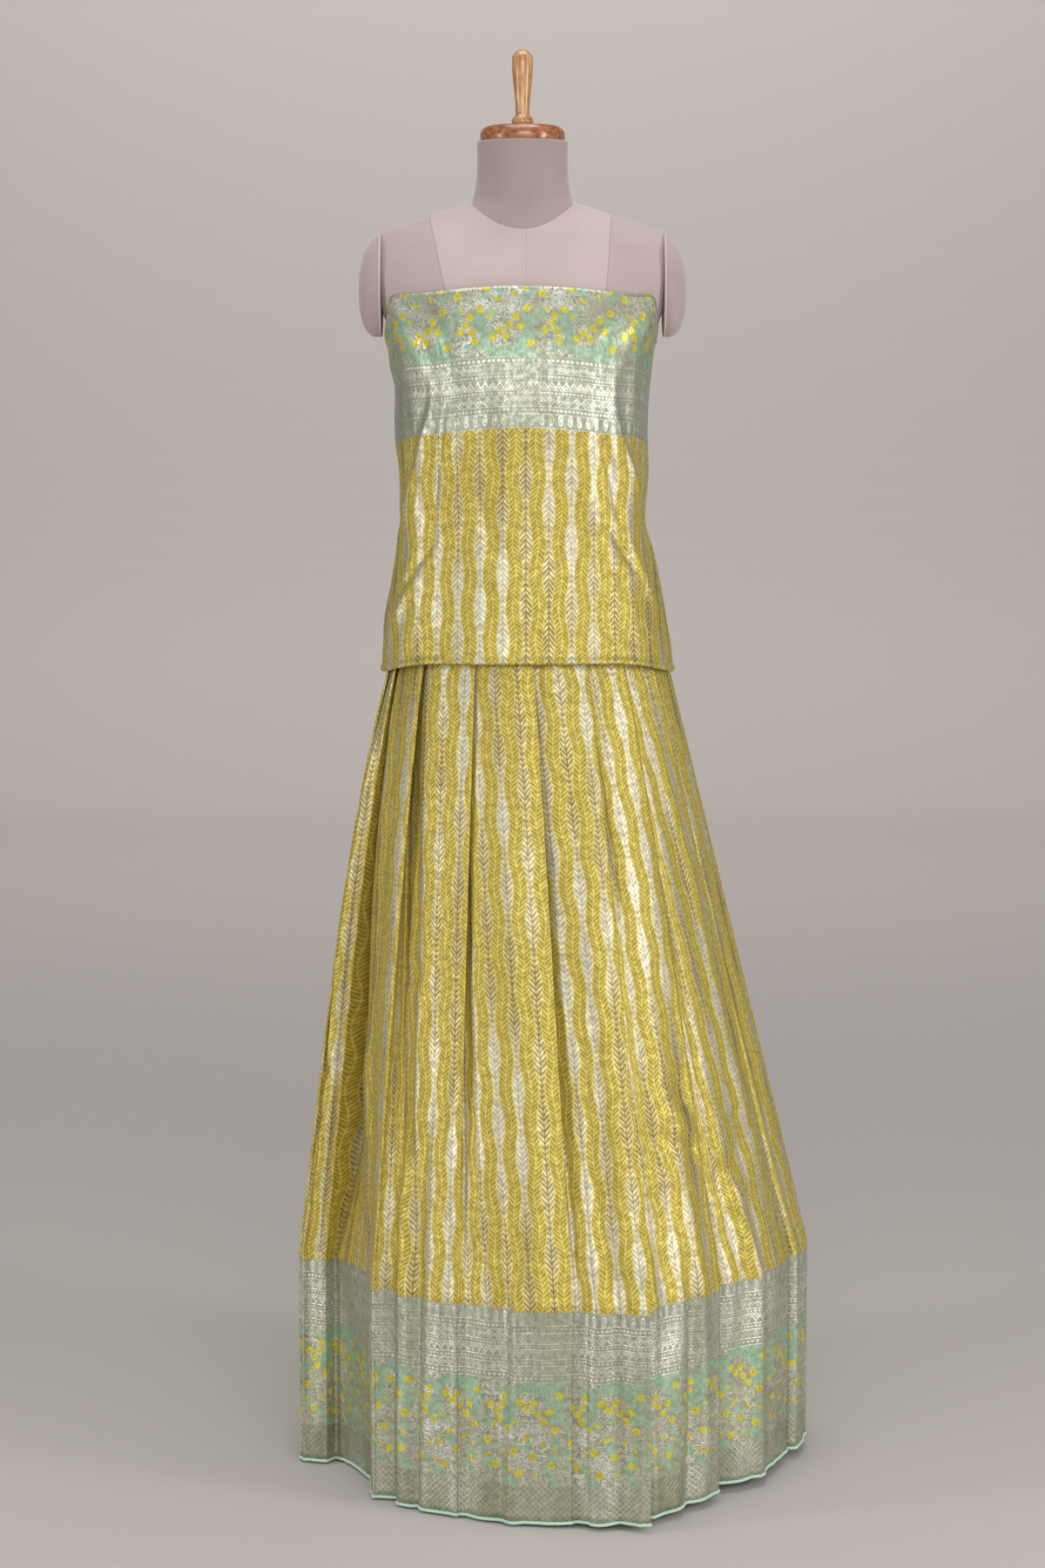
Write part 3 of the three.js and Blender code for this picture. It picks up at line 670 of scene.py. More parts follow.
# The creases that show, and a few like them at the back.
# columns: pleat, share of the panel, low end, high end, depth, width, lean
CREASES = [
    (4, 0.1, 40, 470, -2.2, 4, 6), (4, 0.44, 60, 640, -2.6, 7, -8),
    (4, 0.72, 150, 900, 2.4, 14, 10), (4, 0.06, -60, 300, -3.6, 9, 4),
    (4, 0.27, -60, 360, 4.4, 18, -4), (4, 0.58, -60, 330, -4, 9, 4),
    (4, 0.86, -60, 260, 2.2, 9, 0), (2, 0.12, -60, 420, 7, 11, 4),
    (2, 0.4, -60, 380, -7.4, 10, -4), (3, 0.5, -60, 300, 6, 10, 4),
    (5, 0.12, -60, 330, 6.5, 10, 6), (5, 0.6, -60, 300, -7, 11, 4), (6, 0.45, -60, 360, 7, 11, -6),
    (3, 0.35, 20, 420, -3.2, 10, 12), (3, 0.7, 120, 820, 2.6, 16, -10),
    (3, 0.12, 300, 900, -2.5, 8, 4), (2, 0.5, 10, 560, -3.4, 12, 10),
    (2, 0.82, 60, 380, 2.4, 7, 0), (2, 0.25, 420, 930, -3, 8, -6), (1, 0.58, -60, 560, 6, 26, 0),
    (1, 0.72, 260, 960, -3.4, 9, 6), (5, 0.4, 200, 880, -4.2, 17, 22),
    (5, 0.75, 20, 520, 3.2, 15, -10), (5, 0.2, 60, 330, -3, 9, 8), (6, 0.3, 90, 760, -3.6, 14, 16),
    (6, 0.62, 10, 420, -3, 10, -6), (6, 0.82, 380, 900, 3, 12, 8), (7, 0.5, 150, 700, -3, 12, 0),
    (8, 0.4, 60, 560, -3.4, 14, 12), (8, 0.75, 300, 900, 3, 13, 0), (9, 0.3, 120, 640, -3, 10, -8),
    (10, 0.55, 20, 460, -3.6, 14, 10), (10, 0.25, 400, 880, 3, 12, 6),
    (11, 0.4, 160, 760, -3.4, 12, 0), (12, 0.65, 30, 520, 3.2, 13, -10),
    (12, 0.3, 260, 860, -3.2, 11, 8), (13, 0.5, 80, 640, -3.4, 14, 4),
    (14, 0.35, 20, 420, -3, 10, 6), (14, 0.7, 340, 900, 3, 14, -6), (15, 0.5, 120, 700, -3, 12, 6),
    (0, 0.35, 60, 560, -3.4, 14, 8), (0, 0.7, 300, 920, 3, 12, -6),
]
# Small crumples where a fold was carried. columns: pleat, share of the panel, height, depth,
# length, width, tilt in degrees
CRUMPLES = [
    (2, 0.1, 640, -4.6, 34, 7, 18), (2, 0.16, 622, 3, 30, 7, 10), (5, 0.86, 505, -4.4, 36, 8, -35),
    (5, 0.8, 470, 3.6, 34, 9, -28), (5, 0.9, 430, -3.6, 28, 7, 24),
    (6, 0.45, 402, -4.4, 42, 9, 30), (6, 0.5, 368, 3.2, 38, 9, 22), (6, 0.3, 545, -3, 34, 8, -20),
    (4, 0.55, 560, -1.8, 60, 11, 5), (4, 0.35, 396, -1.7, 70, 12, -4),
    (4, 0.6, 300, -1.8, 80, 12, 3), (3, 0.5, 476, -1.8, 60, 11, 5),
    (3, 0.4, 330, -1.7, 60, 11, -6), (4, 0.3, 780, -1.5, 50, 12, -3),
    (1, 0.5, 420, -2.4, 30, 9, 16), (0, 0.5, 505, -3, 36, 9, 22), (8, 0.5, 480, -3.4, 44, 10, 18),
    (10, 0.45, 400, -3.2, 50, 10, -16), (12, 0.5, 520, -3.2, 44, 10, 14),
    (14, 0.5, 430, -3, 44, 10, -20), (5, 0.5, 452, -4.2, 55, 8, -8),
    (5, 0.42, 408, 3.4, 50, 9, 10), (6, 0.72, 456, -3.8, 36, 8, -26),
    (5, 0.3, 520, -2.8, 36, 8, 6),
]
# The cloth's broad unevenness. columns: height, waves a metre round, waves a millimetre up,
# the noise's layer, the level it fades out at and the run of that fade
RIPPLES = [
    (3.2, 9, 0.0024, 3.7, math.inf, 1), (1.9, 26, 0.006, 9.1, math.inf, 1),
    (1.1, 34, 0.02, 4.4, math.inf, 1), (4.0, 21, 0.002, 6.2, 460, 300),
    (1.1, 52, 0.003, 8.8, 330, 250),
]
CREASE_GAIN, CRUMPLE_GAIN = 1.5, 1.4


def relief(k, share, u, z):
    """How far the cloth stands out of its plain form, in millimetres."""
    panel = panel_cloth[k]
    calm = smooth(clamp((1 - share) * panel / 12)) * smooth(clamp(share * panel / 16))
    rise = 0.0
    for height, round_by, up_by, layer, top, run in RIPPLES:
        wave = noise.noise(Vector((u * round_by, z * up_by, layer)))
        rise += smooth((top - z) / run) * height * wave
    for pleat, at, low, high, depth, width, lean in CREASES:
        if pleat != k or not low - 60 < z < high + 60:
            continue
        t = (z - low) / (high - low)
        off = (share - at) * panel - lean * (t - 0.5) - 2.5 * math.sin(z * 0.017 + at * 9)
        fade = smooth((z - low) / 90 + 0.5) * smooth((high - z) / 150 + 0.5)
        rise += CREASE_GAIN * depth * fade * math.exp(-((off / width) ** 2))
    for pleat, at, high, depth, length, width, tilt in CRUMPLES:
        if pleat != k or abs(z - high) > 70:
            continue
        right, up = (share - at) * panel, z - high
        c, s = math.cos(math.radians(tilt)), math.sin(math.radians(tilt))
        run, off = right * c + up * s, up * c - right * s
        rise += CRUMPLE_GAIN * depth * math.exp(-((run / length) ** 2) - (off / width) ** 2)
    return rise * calm


def hem_lift(x):
    """The hem hangs a little higher towards the wearer's left."""
    return 10 * smooth((x + 60) / 400)


STITCHED_Z, STITCHED_RUN, PUCKER, PUCKER_HEIGHT = 1005, 60, 0.3, 16


def skirt_row(z):
    """One level row of the skirt, all round, as points in metres."""
    pleats = pleats_at(z)
    low = clamp((BORDER_Z - z) / (BORDER_Z - HEM_Z))
    flat = []
    for k, part, share, _ in COLUMNS:
        pleat, previous = pleats[k], pleats[k - 1]
        if part == "panel":
            back = panel_cloth[k] * (1 - share)
            hidden = (back - pleat["chord"]) / (panel_cloth[k] - pleat["chord"])
            if hidden > 0:
                flat.append(previous["start"].lerp(previous["bottom_end"], hidden))
            else:
                flat.append(pleat["on_panel"](back))
        elif part == "fold":
            arc = math.radians(180 * share)
            middle = pleat["edge"].lerp(pleat["edge_back"], 0.5)
            nose = pleat["way"] * FOLD_NOSE * math.sin(arc)
            flat.append(middle + pleat["out"] * LAYER / 2 * math.cos(arc) + nose)
        elif part == "groove":
            flat.append(pleat["edge_back"].lerp(pleat["bottom"], share))
        else:
            flat.append(pleat["bottom"])
    count = len(flat)
    for _ in range(2):
        softer = [(flat[j - 1] + flat[j] * 2 + flat[(j + 1) % count]) / 4 for j in range(count)]
        flat = [flat[j] if COLUMNS[j][1] == "fold" else softer[j] for j in range(count)]
    shut = smooth((z - STITCHED_Z) / STITCHED_RUN)
    near_hem = math.exp(-((z - HEM_Z) / PUCKER_HEIGHT) ** 2)
    row = []
    for j, (k, part, share, u) in enumerate(COLUMNS):
        way = (flat[(j + 1) % count] - flat[j - 1]).normalized()
        out = Vector((way.y, -way.x))
        lift = 0
        if part == "panel":
            lift = relief(k, share, u, z) * (1 - shut)
            lift += PUCKER * near_hem * math.sin(u * 330 + 2.2 * math.sin(u * 41))
        p = flat[j] + out * lift
        row.append((p.x / 1000, p.y / 1000, (z + hem_lift(p.x) * low) / 1000))
    return row


CLOTH_WALL, BAND_WALL = 0.0009, 0.004


def cloth_sheet(name, rows, us, vs, closed, wall, material):
    """A sheet through rows of points, with the cloth's flat sizes as its UV map, and a wall."""
    if closed:
        us = [row + [row[-1] + (row[1] - row[0])] for row in us]
        vs = [row + row[:1] for row in vs]
    faces = grid_faces(len(rows), len(rows[0]), closed)
    piece = new_piece(name, [p for row in rows for p in row], faces)
    places = []
    for i in range(len(rows) - 1):
        for j in range(len(us[0]) - 1):
            corners = ((i, j), (i, j + 1), (i + 1, j + 1), (i + 1, j))
            places += [(us[a][b], vs[a][b]) for a, b in corners]
    for loop, uv in zip(piece.data.uv_layers.new(name="cloth").data, places):
        loop.uv = uv
    piece.data.shade_smooth()
    piece.data.materials.append(material)
    thickness = piece.modifiers.new("thickness", "SOLIDIFY")
    thickness.thickness = wall
    thickness.offset = 0
    deselect_all()
    piece.select_set(True)
    bpy.context.view_layer.objects.active = piece
    bpy.ops.object.modifier_apply(modifier=thickness.name)
    return piece


# The body of the brocade: columns of silver ears of wheat, half a repeat apart, with wavy
# yellow bands between them. Widths are in millimetres, the pitch and the repeat in metres.
EAR_PITCH, EAR_REPEAT, EAR_HALF, EAR_SWELL, BAND_WIDTH = 0.028, 0.079, 5.2, 2.3, 17.6
LEAFLET, PLAIT = 6.6, 5.6


def wheat_pattern():
    group, cloth = open_group("wheat_ears", "Cloth", ("Silver", "Dark", "Bright", "Turned"))
    u, v, _ = axes_of(cloth)
    column = (u / EAR_PITCH).make("ROUND")
    across = (u - column * EAR_PITCH).abs() * 1000
    swell = ((v / EAR_REPEAT + column * 0.5) * (2 * math.pi)).make("COSINE")
    half = swell * EAR_SWELL + EAR_HALF
    silver = (across - half).below(0, 0.7)
    into_band = across - half
    band = into_band.least(into_band * -1.0 + BAND_WIDTH)
    ear = ((v * 1000 - across * 1.2) / LEAFLET).part()
    leaflets = (ear - 0.5).abs().below(0.17, 0.12)
    midrib = across.below(0.6, 0.5)
    plait = ((v * 1000 + band) / PLAIT).part()
    braid = (plait - 0.5).abs().below(0.2, 0.14) * (band - 4.6).abs().below(3.4, 0.8)
    middle_line = (band * -1.0 + BAND_WIDTH / 2).below(0.5, 0.5)
    edging = (band - 0.7).abs().below(0.6, 0.6).most(middle_line)
    in_band = band.above(0.0)
    # Painted sheen: a broad noise, stretched up the cloth, stands for silver turned to the light or
    # away from it; the leaflets show fainter where it is lit.
    turned = Signal(noise_at(stretched(cloth, (1, 0.35, 1)), 15, 1))
    turned = ((turned - 0.5) * 4.5 + 0.55).held()
    depth = turned * -0.5 + 1.0
    dark = silver * leaflets.most(midrib) * depth + in_band * braid * 0.75
    bright = edging * in_band
    values = {"Silver": silver, "Dark": dark, "Bright": bright, "Turned": turned}
    return close_group(group, values)


# Every thread lies a little differently, so the metal yarn glitters in short specks: the specks are
# smoother, and between them the colour is darkened with painted shade.
def thread_glitter():
    group, cloth = open_group("thread_glitter", "Cloth", ("Speck",))
    fine = Signal(noise_at(stretched(cloth, (1, 0.6, 1)), 260, 1)) - 0.5
    coarse = Signal(noise_at(stretched(cloth, (0.8, 1, 1)), 120, 1)) - 0.5
    return close_group(group, {"Speck": (fine * 2.6 + coarse * 2.6 + 0.5).held()})


# The border's silver rows, from the flowers up: each row has its start, height, kind and pitch
# in millimetres.
ROWS = [
    (0, 9, "beads", 6), (9, 11, "lattice", 9), (20, 8, "beads", 4.6), (28, 12, "zigzag", 9),
    (40, 7, "beads", 4.6), (47, 13, "lattice", 11), (60, 9, "beads", 5), (69, 17, "buds", 11.5),
]
BORDER_ROWS_FOOT, BORDER_ROWS_TOP = 0.172, 0.258


def border_rows():
    group, cloth = open_group("border_rows", "Cloth", ("Silver",))
    u, v, _ = axes_of(cloth)
    u, v = u * 1000, (v - BORDER_ROWS_FOOT) * 1000
    total = None
    for foot, height, kind, pitch in ROWS:
        up = (v - foot) / height
        across = ((u / pitch).part() - 0.5).abs()
        off = up - 0.5
        if kind == "beads":
            spot = across * across * pitch * pitch + off * off * height * height
            mark = spot.make("SQRT").below(min(pitch, height) * 0.3, 0.5)
        elif kind == "lattice":
            diamond = across + off.abs()
            mark = (diamond - 0.42).abs().below(0.07, 0.06).most(diamond.below(0.2, 0.08))
        elif kind == "zigzag":
            ridge = across * 1.2 - up + 0.2
            mark = ridge.abs().below(0.16, 0.08).most((ridge + 0.42).abs().below(0.1, 0.08))
        else:
            low = up - 0.42
            leaf = (across * across * 7.0 + low * low * 2.6).make("SQRT")
            mark = (leaf - 0.56).abs().below(0.12, 0.1).most(leaf.below(0.27, 0.1))
        rule = (off.abs() - 0.5).abs().below(0.5 / height, 0.5 / height)
        row = mark.most(rule) * up.within(0.0, 1.0)
        total = row if total is None else total + row
    return close_group(group, {"Silver": total})


# The flowering border: a mint ground with dense silver scrolls, sprays of small yellow
# flowers and curled leaves. One repeat is 103 mm wide. Places in it are in millimetres.
REPEAT_WIDTH, FLOWERS_FOOT, FLOWERS_TOP = 103, 0.044, 0.172
BLOSSOMS = [
    (12, 96), (20, 88), (27, 97), (24, 78), (36, 70), (30, 108), (52, 104), (60, 96),
    (68, 103), (72, 90), (80, 80), (86, 92), (93, 70), (9, 52), (44, 44), (66, 36),
    (88, 26), (18, 22), (50, 16), (98, 112),
]
# columns: place, turn in degrees, length and width of each oval
LEAVES = [
    (14, 70, 50, 9, 3.2), (47, 78, -35, 10, 3.4), (58, 58, 30, 12, 4), (30, 38, -60, 10, 3.2),
    (78, 52, 70, 10, 3.4), (8, 34, 20, 9, 3), (92, 46, -40, 9, 3), (38, 20, 55, 9, 3),
    (70, 14, -20, 9, 3),
]
SCROLLS = [(30, 60, 40, 26, 17), (76, 66, -35, 27, 18), (52, 30, 80, 24, 17), (100, 22, 20, 20, 15)]


def flowering_border():
    group, cloth = open_group("flowering_border", "Cloth", ("Silver", "Yellow", "Filled"))
    u, v, _ = axes_of(cloth)
    u = (u * 1000 / REPEAT_WIDTH).part() * REPEAT_WIDTH
    v = (v - FLOWERS_FOOT) * 1000
    place = add_node(group, "ShaderNodeCombineXYZ", {"X": u, "Y": v}).outputs["Vector"]

    def distance_to(x, y):
        values = {0: place, 1: (x, y, 0)}
        node = add_node(group, "ShaderNodeVectorMath", values, operation="DISTANCE")
        return Signal(node.outputs["Value"])

    def oval(x, y, turn_by, long, short):
        """1 on the rim of an oval at that place."""
        values = {
            "Vector": place,
            "Location": (x, y, 0),
            "Rotation": (0, 0, math.radians(turn_by)),
            "Scale": (long / 2, short / 2, 1),
        }
        mapping = add_node(group, "ShaderNodeMapping", values, vector_type="TEXTURE")
        values = {0: mapping.outputs["Vector"]}
        length = add_node(group, "ShaderNodeVectorMath", values, operation="LENGTH")
        return Signal(length.outputs["Value"])

    def nearest(reach_of, figures):
        reach = reach_of(*figures[0])
        for sizes in figures[1:]:
            reach = reach.least(reach_of(*sizes))
        return reach

    petals = (nearest(distance_to, BLOSSOMS) - 2.9).abs().below(1.7, 0.6)
    yellow = petals.most(nearest(oval, LEAVES).below(1.0, 0.25))
    scroll = nearest(oval, SCROLLS)
    whorls = (scroll * 2.6).part().below(0.45, 0.2) * scroll.below(1.15, 0.1)
    curls = Signal(noise_at(place, 0.085, 1.2, 1.4))
    lines = ((curls * 6.0).part() - 0.5).abs().below(0.22, 0.12)
    cover = Signal(noise_at(place, 0.038, 1)).below(0.53, 0.03).most(scroll.below(1.25, 0.1))
    silver = (lines * cover).most(whorls) * yellow.rest()
    return close_group(group, {"Silver": silver, "Yellow": yellow, "Filled": cover})


GROUPS = [wheat_pattern(), border_rows(), flowering_border(), thread_glitter()]
YELLOW, DEEP_YELLOW, PALE_YELLOW = (0.64, 0.515, 0.095), (0.31, 0.22, 0.028), (0.73, 0.62, 0.17)
# Painted shade and painted sheen of the silver ears, mixed by the painted sheen noise
PAINTED_SHEEN_GOLD, PAINTED_SHADE_GOLD = (0.8, 0.77, 0.6), (0.61, 0.53, 0.27)
MINT, ROW_GROUND, FILLED_GROUND = (0.4, 0.56, 0.4), (0.44, 0.47, 0.36), (0.42, 0.44, 0.32)
FLOWER_YELLOW, PAINTED_SPECK_SHADE = (0.76, 0.66, 0.05), (0.4, 0.34, 0.2)
# each pair: painted shade and painted sheen, for the thread or ground turned away from the light
# and turned to it
ROWS_THREAD = ((0.56, 0.57, 0.45), (0.9, 0.9, 0.83))
FLOWER_THREAD = ((0.56, 0.56, 0.42), (0.82, 0.84, 0.76))
EDGE_THREAD = ((0.46, 0.47, 0.34), (0.72, 0.73, 0.62))
EDGE_GROUND = ((0.35, 0.36, 0.24), (0.46, 0.48, 0.38))
DIAPER_PITCH, THREAD_PITCH = 7.3, 0.9


def brocade(name):
    """The cloth from its UV map: body, silver rows, flowering border and diapered edge, with
    painted sheen and painted shade on its thread.
    """
    material = plain_material(name, YELLOW, 0.45)
    tree = material.node_tree
    cloth = add_node(tree, "ShaderNodeUVMap", uv_map="cloth").outputs["UV"]
    u, v, _ = axes_of(cloth)
    wheat, rows, flowers, glitter = (
        add_node(tree, "ShaderNodeGroup", {"Cloth": cloth}, node_tree=group).outputs
        for group in GROUPS
    )
    in_body = v.above(BORDER_ROWS_TOP)
    in_rows = v.within(BORDER_ROWS_FOOT, BORDER_ROWS_TOP)
    in_flowers = v.within(FLOWERS_FOOT, FLOWERS_TOP)
    in_edge = v.make("LESS_THAN", FLOWERS_FOOT)

    # The silver's colour swaps between painted shade and painted sheen by the sheen noise.
    dark, painted_sheen = Signal(wheat["Dark"]), Signal(wheat["Turned"])
    body = Signal(wheat["Bright"]).blend(YELLOW, PALE_YELLOW)
    body = Signal(wheat["Silver"]).blend(body, painted_sheen.blend(PAINTED_SHADE_GOLD, PAINTED_SHEEN_GOLD))
    body = dark.blend(body, DEEP_YELLOW)
    row_silver, flower_silver = Signal(rows["Silver"]), Signal(flowers["Silver"])
    rows_colour = row_silver.blend(ROW_GROUND, painted_sheen.blend(*ROWS_THREAD))
    flower_colour = Signal(flowers["Filled"]).blend(MINT, FILLED_GROUND)
    flower_colour = flower_silver.blend(flower_colour, painted_sheen.blend(*FLOWER_THREAD))
    flower_colour = Signal(flowers["Yellow"]).blend(flower_colour, FLOWER_YELLOW)
    stripes = [((axis * 1000 / DIAPER_PITCH).part() - 0.5).abs() for axis in (u, v)]
    diaper = (stripes[0] + stripes[1] - 0.5).abs().below(0.14, 0.12)
    edge_colour = diaper.blend(painted_sheen.blend(*EDGE_GROUND), painted_sheen.blend(*EDGE_THREAD))
    colour = in_rows.blend(body, rows_colour)
    colour = in_flowers.blend(colour, flower_colour)
    colour = in_edge.blend(colour, edge_colour)
    # Painted shade: the colour darkens between the glitter specks, where the threads stand for
    # turning from the light.
    speck = Signal(glitter["Speck"])
    colour = (speck * -0.42 + 0.42).blend(colour, PAINTED_SPECK_SHADE, "MULTIPLY")

    silver = Signal(wheat["Silver"]) * in_body + row_silver * in_rows
    silver = silver + flower_silver * in_flowers + diaper * in_edge
    metal = silver * 0.3 + in_body.rest() * 0.18 + 0.4
    rough = silver * -0.03 + speck * -0.12 - in_body.rest() * 0.08 + 0.57
    feed(shader_of(material), {"Base Color": colour, "Metallic": metal, "Roughness": rough})

    warp, weft = (((axis * 1000 / THREAD_PITCH).part() - 0.5).abs() for axis in (u, v))
    raised = silver * 0.6 - dark * in_body * 0.6 + (weft + warp) * 0.25
    emboss(material, raised, 0.5, 0.0005)
    return material


silk = brocade("wheat_brocade")
levels = [HEM_Z]
for low, high, steps, power in (
    (HEM_Z, BORDER_Z, 24, 1.15), (BORDER_Z, HIP_Z, 57, 1.35), (HIP_Z, WAIST_Z, 8, 1)
):
    levels += [low + (high - low) * (i / steps) ** power for i in range(1, steps + 1)]
skirt_rows = [skirt_row(z) for z in levels]
skirt_us = [[column[3] for column in COLUMNS]] * len(levels)
skirt_vs = [[(z - HEM_Z) / 1000] * len(COLUMNS) for z in levels]
skirt = cloth_sheet("pleated_skirt", skirt_rows, skirt_us, skirt_vs, True, CLOTH_WALL, silk)
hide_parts("skirt_front", "skirt_back")
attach(skirt, "root")


# The hem piping
# A narrow cord in mint satin, sewn along the brocade's lower selvedge to bind it, round
# every fold of the hem.
mint_satin = plain_material("mint_satin", (0.5, 0.68, 0.54), 0.5)
feed(shader_of(mint_satin), {"Sheen Weight": 0.3})
PIPING_DROP, PIPING_RADIUS = 0.0019, 0.0022
hem_line = [(x, y, z - PIPING_DROP) for x, y, z in skirt_rows[0]]
piping = cord_along("mint_hem_piping", hem_line, PIPING_RADIUS, mint_satin)
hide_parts("hem_piping_front", "hem_piping_back")
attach(piping, "root")


# The waistband
# A straight band of the same silk over the pleats' top edges, drawn tight to the form and
# hidden by the wrap.
BAND_FOOT, BAND_HEIGHT, BAND_LENGTH, BAND_STEPS = 1165.3, 30, 0.8, 180
band_rows, band_us, band_vs = [], [], []
for i in range(9):
    z = BAND_FOOT + BAND_HEIGHT * i / 8
    off = 3.3 + 1.2 * bow(i / 8)
    band_rows.append([torso_point(360 * j / BAND_STEPS, z, off) for j in range(BAND_STEPS)])
    band_us.append([BAND_LENGTH * j / BAND_STEPS for j in range(BAND_STEPS)])
    band_vs.append([0.4 + z / 1000 - 1.16] * BAND_STEPS)
band = cloth_sheet("silk_waistband", band_rows, band_us, band_vs, True, BAND_WALL, silk)
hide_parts("waistband")
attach(band, "root")


# The bust wrap
# The blouse length of the same loom, border upwards, taken once round the bust and pinned
# at the centre back. Its fullness folds back at the sides, and its lower edge is rolled in.
WRAP_FOOT, WRAP_SQUARE = 1008, 2.35
# columns: height, left, right, front, back, crease's degrees forward of the side, ridge
WRAP = [
    (WRAP_FOOT, 175, 187.6, 146, 140, 4, 1), (1060, 170.5, 179, 140, 130, 6, 6),
    (1125, 158.5, 167.5, 133, 118, 9, 11), (1170, 152.5, 156.5, 129, 110, 14, 13),
    (1200, 153, 152, 128, 106, 22, 13), (1255, 154, 156, 128, 103, 34, 10),
    (1303, 158, 155, 130, 102, 44, 6), (1352, 157, 158, 131, 102, 50, 1.5),
    (1385, 163, 161, 130, 102, 50, 0), (1405, 166, 163.5, 127, 102, 50, 0),
    (1425, 175, 172, 121, 103, 50, 0), (1440, 177, 176, 115, 103, 50, 0),
    (1480, 184, 183, 99, 100, 50, 0),
]
UNDERARM_Z, TOP_FRONT_Z, TOP_BACK_Z = 1414, 1470, 1462


def wrap_bottom(degrees):
    frontness = max(0, -math.sin(math.radians(degrees)))
    return WRAP_FOOT + 16 * smooth(frontness * 1.3 - 0.2)


def side_angle(degrees):
    return abs((degrees - 90 + 360) % 180 - 90)


def arched_top(degrees):
    """The top edge's height before it dips under the arms."""
    high = TOP_FRONT_Z if math.sin(math.radians(degrees)) < 0 else TOP_BACK_Z
    return high + 9 * smooth((side_angle(degrees) - 40) / 50)


def wrap_top(degrees):
    return mix(UNDERARM_Z, arched_top(degrees), smooth((side_angle(degrees) - 8) / 26))


CREASE_RUN, CREASE_DROP, CREASE_HOLLOW = 46, 6, 26


def ridge_at(near, behind, ridge):
    """How far the cloth stands out at that many degrees from a side crease."""
    if not behind:
        return ridge * max(0, 1 - near / CREASE_RUN) ** 1.3
    low = -0.25 * ridge
    if near < CREASE_DROP:
        return mix(ridge, low, smooth(near / CREASE_DROP))
    return low * max(0, 1 - (near - CREASE_DROP) / CREASE_HOLLOW)


def wrap_point(degrees, z, out=0.0):
    left, right, front, back, crease, ridge = (along(WRAP, k, z) for k in range(1, 7))
    c, s = math.cos(math.radians(degrees)), math.sin(math.radians(degrees))
    forward = degrees - 180 - crease if c < 0 else 360 - crease - degrees
    rise = ridge_at(abs(forward), forward < 0, ridge) if s < 0 or abs(forward) < 60 else 0
    rise += out
    side = (left if c < 0 else right) + rise * 0.4 + out * 0.6
    depth = (front if s < 0 else back) + rise
    power = 2 / WRAP_SQUARE
    return Vector((side * signed_power(c, power), depth * signed_power(s, power)))


WRAP_SPANS = (62, 12, 92, 12, 62)
WRAP_STEPS = sum(WRAP_SPANS)


def wrap_degrees(j, z):
    """The columns follow the creases: degrees round the body of column j at height z."""
    crease = along(WRAP, 5, z)
    left, right = 180 + crease, 360 - crease
    marks = (82, left - CREASE_DROP, left, right, right + CREASE_DROP, 458)
    span, first = 0, 0
    while j > first + WRAP_SPANS[span]:
        first += WRAP_SPANS[span]
        span += 1
    return mix(marks[span], marks[span + 1], (j - first) / WRAP_SPANS[span])


# Soft folds of the wrap. columns: degrees and height of each end, depth, width
WRAP_FOLDS = [
    (236, 1350, 226, 1180, -2.4, 9), (243, 1330, 252, 1200, 1.6, 10),
    (250, 1240, 262, 1150, -2.2, 9), (300, 1330, 318, 1190, -2.6, 9),
    (292, 1260, 306, 1160, 1.6, 11), (312, 1180, 330, 1120, -3, 8), (322, 1160, 338, 1090, 2.2, 9),
    (226, 1170, 205, 1100, -3, 8), (218, 1140, 200, 1050, 2.2, 10),
    (262, 1460, 266, 1390, -1.3, 6), (278, 1470, 280, 1300, 1.2, 5),
    (232, 1440, 236, 1370, -1.6, 8), (305, 1440, 302, 1360, -1.6, 8),
    (256, 1120, 262, 1040, -1.6, 12), (288, 1130, 282, 1050, 1.6, 12), (20, 1240, 34, 1170, -3, 8),
    (150, 1230, 132, 1160, -3, 8), (60, 1300, 70, 1180, -2, 10), (120, 1310, 108, 1170, 2, 10),
    (40, 1130, 56, 1050, -2.4, 10), (140, 1120, 128, 1040, -2.4, 10),
]
FOLD_GAIN, MM_PER_DEGREE = 1.5, 2.4


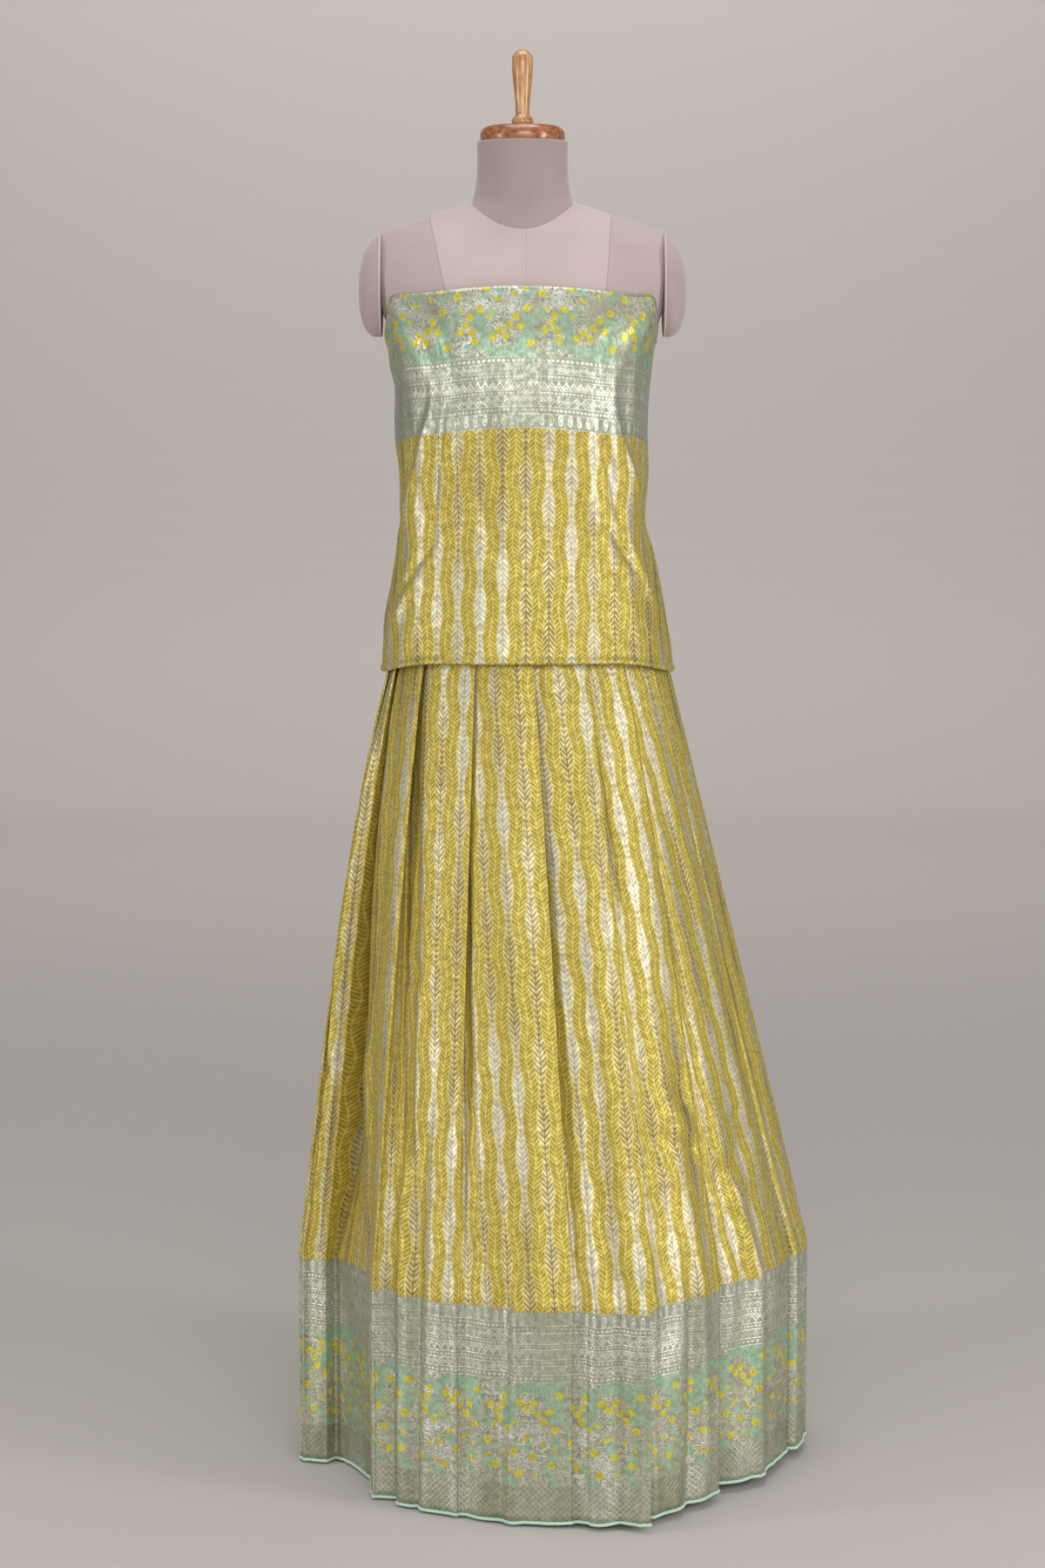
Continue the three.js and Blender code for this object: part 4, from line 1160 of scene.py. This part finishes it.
def wrap_relief(degrees, z):
    rise = 2.0 * noise.noise(Vector((degrees * 0.05, z * 0.006, 5.3)))
    rise += 1.3 * noise.noise(Vector((degrees * 0.13, z * 0.014, 1.9)))
    rise += 0.8 * noise.noise(Vector((degrees * 0.1 + z * 0.012, z * 0.034, 7.7)))
    for from_degrees, from_z, to_degrees, to_z, depth, width in WRAP_FOLDS:
        if not to_z - 45 < z < from_z + 45:
            continue
        a = Vector((from_degrees * MM_PER_DEGREE, from_z))
        way = Vector((to_degrees * MM_PER_DEGREE, to_z)) - a
        here = Vector((degrees * MM_PER_DEGREE, z)) - a
        t = clamp(here.dot(way) / way.length_squared)
        off = (here - way * t).length
        rise += FOLD_GAIN * depth * (0.35 + 0.65 * bow(t)) * math.exp(-((off / width) ** 2))
    return rise


# The rolled lower edge from its inner end: how far out, and how far above the edge
ROLL = [
    (-1, 9), (-1, 5), (-0.9, 1.8), (-0.2, -0.4), (1, -1.3), (2, -0.5), (2.3, 1.6), (2, 3.6),
    (1.2, 5.2), (0.3, 6.6),
]
LAP_LIFT, TOP_HEM, UNDERARM_SHIFT = 2.4, 0.087, 14
wrap_rows, wrap_us, wrap_vs = [], [], []
body_shares = [0.017 + 0.983 * (i / 96) for i in range(97)]
for step in range(len(ROLL) + len(body_shares)):
    row, row_v = [], []
    share = body_shares[max(0, step - len(ROLL))]
    for j in range(WRAP_STEPS + 1):
        turned = wrap_degrees(j, mix(wrap_bottom(270), wrap_top(270), share))
        degrees = turned % 360
        foot, head = wrap_bottom(degrees), wrap_top(degrees)
        if step < len(ROLL):
            out, z = ROLL[step][0], foot + ROLL[step][1]
        else:
            out, z = 0.0, mix(foot, head, share)
        calm = smooth((z - foot - 4) / 30) * (1 - 0.6 * smooth((z - head + 26) / 26))
        near_back = smooth((abs(turned - 270) - 168) / 16)
        folds = wrap_relief(degrees, z) * calm * (1 - near_back)
        p = wrap_point(degrees, max(z, WRAP_FOOT), out + folds)
        p += p.normalized() * (LAP_LIFT * smooth((turned - 390) / 40))
        row.append((p.x / 1000, p.y / 1000, z / 1000))
        line = arched_top(degrees) - UNDERARM_SHIFT * (1 - smooth(side_angle(degrees) / 40))
        row_v.append(TOP_HEM + (line - z) / 1000)
    row_u = [0.0]
    for first, second in zip(row, row[1:]):
        row_u.append(row_u[-1] + math.dist(first, second))
    middle = row_u[WRAP_STEPS // 2]
    wrap_us.append([u - middle + 0.5 for u in row_u])
    wrap_rows.append(row)
    wrap_vs.append(row_v)
wrap = cloth_sheet("bust_wrap_cloth", wrap_rows, wrap_us, wrap_vs, False, CLOTH_WALL, silk)
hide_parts("bust_wrap")
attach(wrap, "root")
